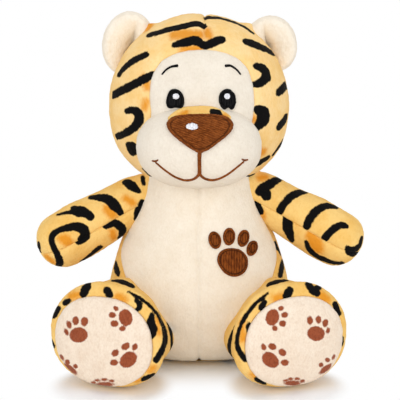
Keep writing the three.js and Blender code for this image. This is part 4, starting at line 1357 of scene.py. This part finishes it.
def leg_rows(places, sign):
    """Rings of a leg at places along its length, flat where it rests on the floor."""
    turn = np.linspace(0, 2 * math.pi, LEG_COLUMNS, endpoint=False)[None, :]
    wide = flowing(LEG_PLACES, LEG_HALF_WIDE)(places)[:, None]
    high = flowing(LEG_PLACES, LEG_HALF_TALL)(places)[:, None]
    low = flowing(LEG_PLACES, LEG_HALF_LOW)(places)[:, None]
    tall = np.where(np.sin(turn) > 0, high, low)
    power = 2 + (LEG_SQUARE - 2) * np.clip((places - ANKLE_AT) / LEG_SQUARE_FADE, 0, 1)[:, None]
    square = squared(turn, power)
    near_hip = np.clip((ANKLE_AT - places) / HIP_REACH, 0, 1)[:, None]
    near_hip = near_hip**2 * (3 - 2 * near_hip)
    swell = 0
    for lift, at, reach, sharp in HIP_SWELLS:
        off = np.abs(turn - math.radians(at)) / math.radians(reach)
        swell = swell + lift * near_hip * np.exp(-(off**sharp))
    outward = (wide + swell) * square * np.cos(turn) + HIP_SPLAY * near_hip
    rows = HIP + places[:, None, None] * FOOT_AHEAD + outward[..., None] * FOOT_ASIDE
    rows[..., 2] += (tall + swell) * square * np.sin(turn)
    rows[..., 2] = np.maximum(rows[..., 2], FOOT_FLOOR)
    return rows * np.array((sign, 1, 1))


for side, sign in (("left", 1), ("right", -1)):
    thigh_rows = leg_rows(np.linspace(LEG_PLACES[0], ANKLE_AT + ANKLE_LAP, THIGH_ROWS), sign)
    thigh_rows[0] = thigh_rows[0].mean(axis=0)
    thigh_run = run_of(thigh_rows, 0)
    thigh_pull = seam_pull(thigh_run[-1:] - thigh_run, *ANKLE_SEAM)
    thigh = plush(
        f"thigh_{side}", thigh_rows, print_plush,
        closed=True, pull=thigh_pull, lump=0.4, turn_in=("last row",),
    )
    # The thigh is printed with its marks, with the painted shadow where it meets the belly and with the
    # painted crease shade.
    print_marks(
        thigh, THIGH_PRINT_AND_SHADOW_STROKES[side] + CREASE_SHADE_STROKES[side], seed=41 + sign, marks=8,
        hidden=lambda spots: np.abs(spots[:, 0]) > THIGH_HIDDEN_FROM,
    )
    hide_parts(f"thigh_panel_{side}")

    band_rows = leg_rows(np.linspace(ANKLE_AT, SOLE_FROM, BAND_ROWS), sign)
    band_run = run_of(band_rows, 0)
    band_pull = seam_pull(band_run, *BAND_SEAM) + seam_pull(band_run[-1:] - band_run, *SOLE_SEAM)
    band_edges = ("first row", "last row")
    band = plush(
        f"foot_{side}", band_rows, print_plush, closed=True, pull=band_pull, lump=0.4, turn_in=band_edges
    )
    # The foot band is printed with its marks and with the painted crease shade.
    print_marks(
        band, BAND_STROKES[side] + CREASE_SHADE_STROKES[side], BAND_PATCHES[side], seed=51 + sign, marks=7,
        hidden=lambda spots: spots[:, 1] > BAND_HIDDEN_FROM + BAND_HIDDEN_SLANT * np.abs(spots[:, 0]),
    )
    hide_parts(f"foot_band_{side}")

    for piece in (thigh, band):
        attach(piece, f"leg_{side}")

    ring = np.linspace(1, 0, SOLE_RINGS)
    rim = leg_rows(np.array([float(SOLE_FROM)]), 1)[0]
    sole_middle = HIP + SOLE_FROM * FOOT_AHEAD
    sole_rows = sole_middle + ring[:, None, None] * (rim - sole_middle)
    dome = SOLE_DOME * (1 - ring**2) ** SOLE_DOME_FULLNESS
    sole_rows = sole_rows + dome[:, None, None] * FOOT_AHEAD
    sole_rows = sole_rows * np.array((sign, 1, 1))
    sole_pull = seam_pull(run_of(sole_rows, 0), *SOLE_SEAM)
    sole = plush(
        f"sole_{side}", sole_rows, sole_plush, closed=True, pull=sole_pull, lump=0.3, turn_in=("first row",)
    )
    sole_pixels, sole_ahead = on_photo(points_of(sole))
    paws = np.full(len(sole_pixels), FAR_OFF)
    for middle_x, middle_y, half_wide, half_tall, tilt in sum(SOLE_PAWS[side], []):
        off = sole_pixels - (middle_x, middle_y)
        tilt = math.radians(tilt)
        across = (off[:, 0] * math.cos(tilt) + off[:, 1] * math.sin(tilt)) / half_wide
        down = (off[:, 1] * math.cos(tilt) - off[:, 0] * math.sin(tilt)) / half_tall
        paws = np.minimum(paws, (np.hypot(across, down) - 1) * min(half_wide, half_tall))
    keep_on(sole, "paw", paws * sole_ahead / LENS_PIXELS)
    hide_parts(f"sole_panel_{side}")
    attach(sole, f"leg_{side}")

# The tail is a stuffed tube of printed plush, closed at its tip, that leaves the seat behind and curls
# round on the floor to the toy's left.
TAIL_ROOT = np.array((0, 52.34, 19.0))
TAIL_PATH = [
    (0, -9, 3.5), (0, 0, 0), (4.6, 13.2, -7.1), (19.3, 24, -10.15), (36.8, 19.2, -10.15), (46, 8.4, -10.15),
    (50.5, -0.8, -10.15),
]
TAIL_RADIUS = 8.6
TAIL_ROWS = 74
TAIL_COLUMNS = 44

tail_path = np.array(TAIL_PATH) + TAIL_ROOT
tail_share = np.arange(len(tail_path)) / (len(tail_path) - 1)
tail_fine = np.linspace(0, 1, TAIL_ROWS)
tail_line = smooth_path(tail_path, tail_share, tail_fine)
tail_ahead = np.gradient(tail_line, axis=0)
tail_ahead /= np.linalg.norm(tail_ahead, axis=1, keepdims=True)
tail_aside = np.cross(tail_ahead, (0, 0, 1))
tail_aside /= np.linalg.norm(tail_aside, axis=1, keepdims=True)
tail_upward = np.cross(tail_aside, tail_ahead)
tail_length = np.cumsum(np.linalg.norm(np.diff(tail_line, axis=0, prepend=tail_line[:1]), axis=1))
to_tip = np.clip((tail_length[-1] - tail_length) / TAIL_RADIUS, 0, 1)
tail_radius = TAIL_RADIUS * np.sqrt(1 - (1 - to_tip) ** 2)
tail_turn = np.linspace(0, 2 * math.pi, TAIL_COLUMNS, endpoint=False)[None, :]
tail_rows = (
    tail_line[:, None]
    + (tail_radius[:, None] * np.cos(tail_turn))[..., None] * tail_aside[:, None]
    + (tail_radius[:, None] * np.sin(tail_turn))[..., None] * tail_upward[:, None]
)
tail_rows[..., 2] = np.maximum(tail_rows[..., 2], FOOT_FLOOR)
tail = plush("tail", tail_rows, print_plush, closed=True, lump=0.3)
print_marks(tail, seed=61, marks=9)
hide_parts("tail_cover")
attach(tail, "tail")

# Inside are loose polyester stuffing, the firm wads on which head, arms and legs turn, and a cotton bag
# of pellets that weighs the seat. They are closed in by the plush and only fill it.
FIBRE = (0.88, 0.87, 0.84)
FIBRE_SHADE = (0.70, 0.69, 0.66)
BAG = (0.72, 0.68, 0.60)
BAG_SHADE = (0.55, 0.51, 0.44)
FIBRE_TINT = (1, 1, 1)
FIBRE_GRAIN = 0.0032
FIBRE_LUMP = 0.0005
FIBRE_WAVES = 160
FIBRE_UNDER = 3.5


def tuck_in(wad, covers):
    """Pulls a filling's points in under the plush that covers it."""
    skins = [skin_of(bpy.data.objects[cover]) for cover in covers]
    for point in wad.data.vertices:
        spot = point.co * 1000
        near, normal, _, _ = min((skin.find_nearest(spot) for skin in skins), key=lambda found: found[3])
        if (spot - near).dot(normal) > -FIBRE_UNDER:
            point.co = (near - normal * FIBRE_UNDER) / 1000


stuffing_fibre = plush_finish("stuffing_fibre", FIBRE, FIBRE_SHADE, FIBRE_TINT)
pellet_cotton = plush_finish("pellet_cotton", BAG, BAG_SHADE, FIBRE_TINT)
FILLINGS = {
    "body_stuffing": ("torso", ["belly", "back", "seat"]),
    "pellet_bag": ("torso", ["belly", "back", "seat"]),
    "neck_stuffing": ("neck", []),
    "head_stuffing": ("head", []),
    "tail_stuffing": ("tail", ["tail"]),
}
for side in ("left", "right"):
    FILLINGS[f"shoulder_stuffing_{side}"] = (f"shoulder_{side}", [])
    FILLINGS[f"arm_stuffing_{side}"] = (f"arm_{side}", [f"arm_upper_{side}", f"arm_lower_{side}"])
    FILLINGS[f"hip_stuffing_{side}"] = (f"hip_{side}", [f"thigh_{side}"])
    FILLINGS[f"leg_stuffing_{side}"] = (f"leg_{side}", [f"thigh_{side}", f"foot_{side}"])
for node, (body, covers) in FILLINGS.items():
    wad = bpy.data.objects.new(f"{node}_fill", bpy.data.objects[node].data.copy())
    bpy.context.collection.objects.link(wad)
    grain = wad.modifiers.new("grain", "REMESH")
    grain.mode = "VOXEL"
    grain.voxel_size = FIBRE_GRAIN
    wad.data = bpy.data.meshes.new_from_object(wad.evaluated_get(bpy.context.evaluated_depsgraph_get()))
    wad.modifiers.clear()
    for point in wad.data.vertices:
        point.co -= point.normal * FIBRE_LUMP * (1 + noise.noise(point.co * FIBRE_WAVES))
    if covers:
        tuck_in(wad, covers)
    wad.data.polygons.foreach_set("use_smooth", [True] * len(wad.data.polygons))
    wad.data.materials.clear()
    wad.data.materials.append(pellet_cotton if node == "pellet_bag" else stuffing_fibre)
    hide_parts(node)
    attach(wad, body)

# The toy sits on a white studio floor under soft light from the front, above and both sides. Behind it
# the background is plain white.
FLOOR_REACH = 6.0
FLOOR_BOUNCE = (0.95, 0.94, 0.93)
FLOOR_SEEN = (0.99, 1.02, 1.06)
FOOTPRINTS = [
    ((0.0, 0.0, 0.0), 0.045, 0.045),
    ((0.054, -0.078, 0.0), 0.028, 0.013),
    ((-0.054, -0.078, 0.0), 0.028, 0.013),
]
LAMPS = [
    ("front_left_lamp", (-0.80, -1.40, 0.60), 1.1, 5.6),
    ("front_right_lamp", (0.85, -1.35, 0.50), 1.1, 5.3),
    ("front_low_lamp", (0.0, -1.60, 0.16), 0.8, 3.4),
    ("top_lamp", (0.0, 0.1, 1.6), 1.4, 3.9),
]
LAMP_AIM = Vector((0, 0, 0.1))
SKY = 0.66
WHITE = (1, 1, 1)

floor_finish = Finish("studio_floor", Roughness=1.0)
seen = floor_finish.seen_directly()
clear = seen
for spot, spread, fade in FOOTPRINTS:
    sockets = {0: floor_finish.place(), 1: spot}
    off = floor_finish.node("ShaderNodeVectorMath", {"operation": "DISTANCE"}, sockets, "Value")
    clear = clear * floor_finish.step(off, spread, spread + fade)
floor_finish.dress(floor_finish.blend(seen, FLOOR_BOUNCE, FLOOR_SEEN))
white = floor_finish.node("ShaderNodeEmission", {}, {"Color": WHITE, "Strength": 1.0})
lit = Thread(floor_finish, floor_finish.shader.outputs[0])
shown = floor_finish.node("ShaderNodeMixShader", {}, {0: clear, 1: lit, 2: white})
floor_finish.feed(floor_finish.tree.nodes["Material Output"].inputs["Surface"], shown)
floor = bpy.data.objects.new("floor", bpy.data.meshes.new("floor"))
corners = [(x * FLOOR_REACH, y * FLOOR_REACH, 0) for x, y in ((-1, -1), (1, -1), (1, 1), (-1, 1))]
floor.data.from_pydata(corners, [], [(0, 1, 2, 3)])
floor.data.materials.append(floor_finish.material)
bpy.context.collection.objects.link(floor)

for name, spot, size, power in LAMPS:
    lamp = bpy.data.objects.new(name, bpy.data.lights.new(name, "AREA"))
    lamp.data.size = size
    lamp.data.energy = power
    lamp.location = spot
    lamp.rotation_euler = (LAMP_AIM - Vector(spot)).to_track_quat("-Z", "Y").to_euler()
    bpy.context.collection.objects.link(lamp)

world = bpy.data.worlds.new("studio")
bpy.context.scene.world = world
world.use_nodes = True
sky = Weave(world.node_tree)
sky_light = world.node_tree.nodes["Background"]
sky.feed(sky_light.inputs["Color"], WHITE)
sky.feed(sky_light.inputs["Strength"], SKY + (1 - SKY) * sky.seen_directly())
bpy.context.scene.view_settings.view_transform = "Standard"
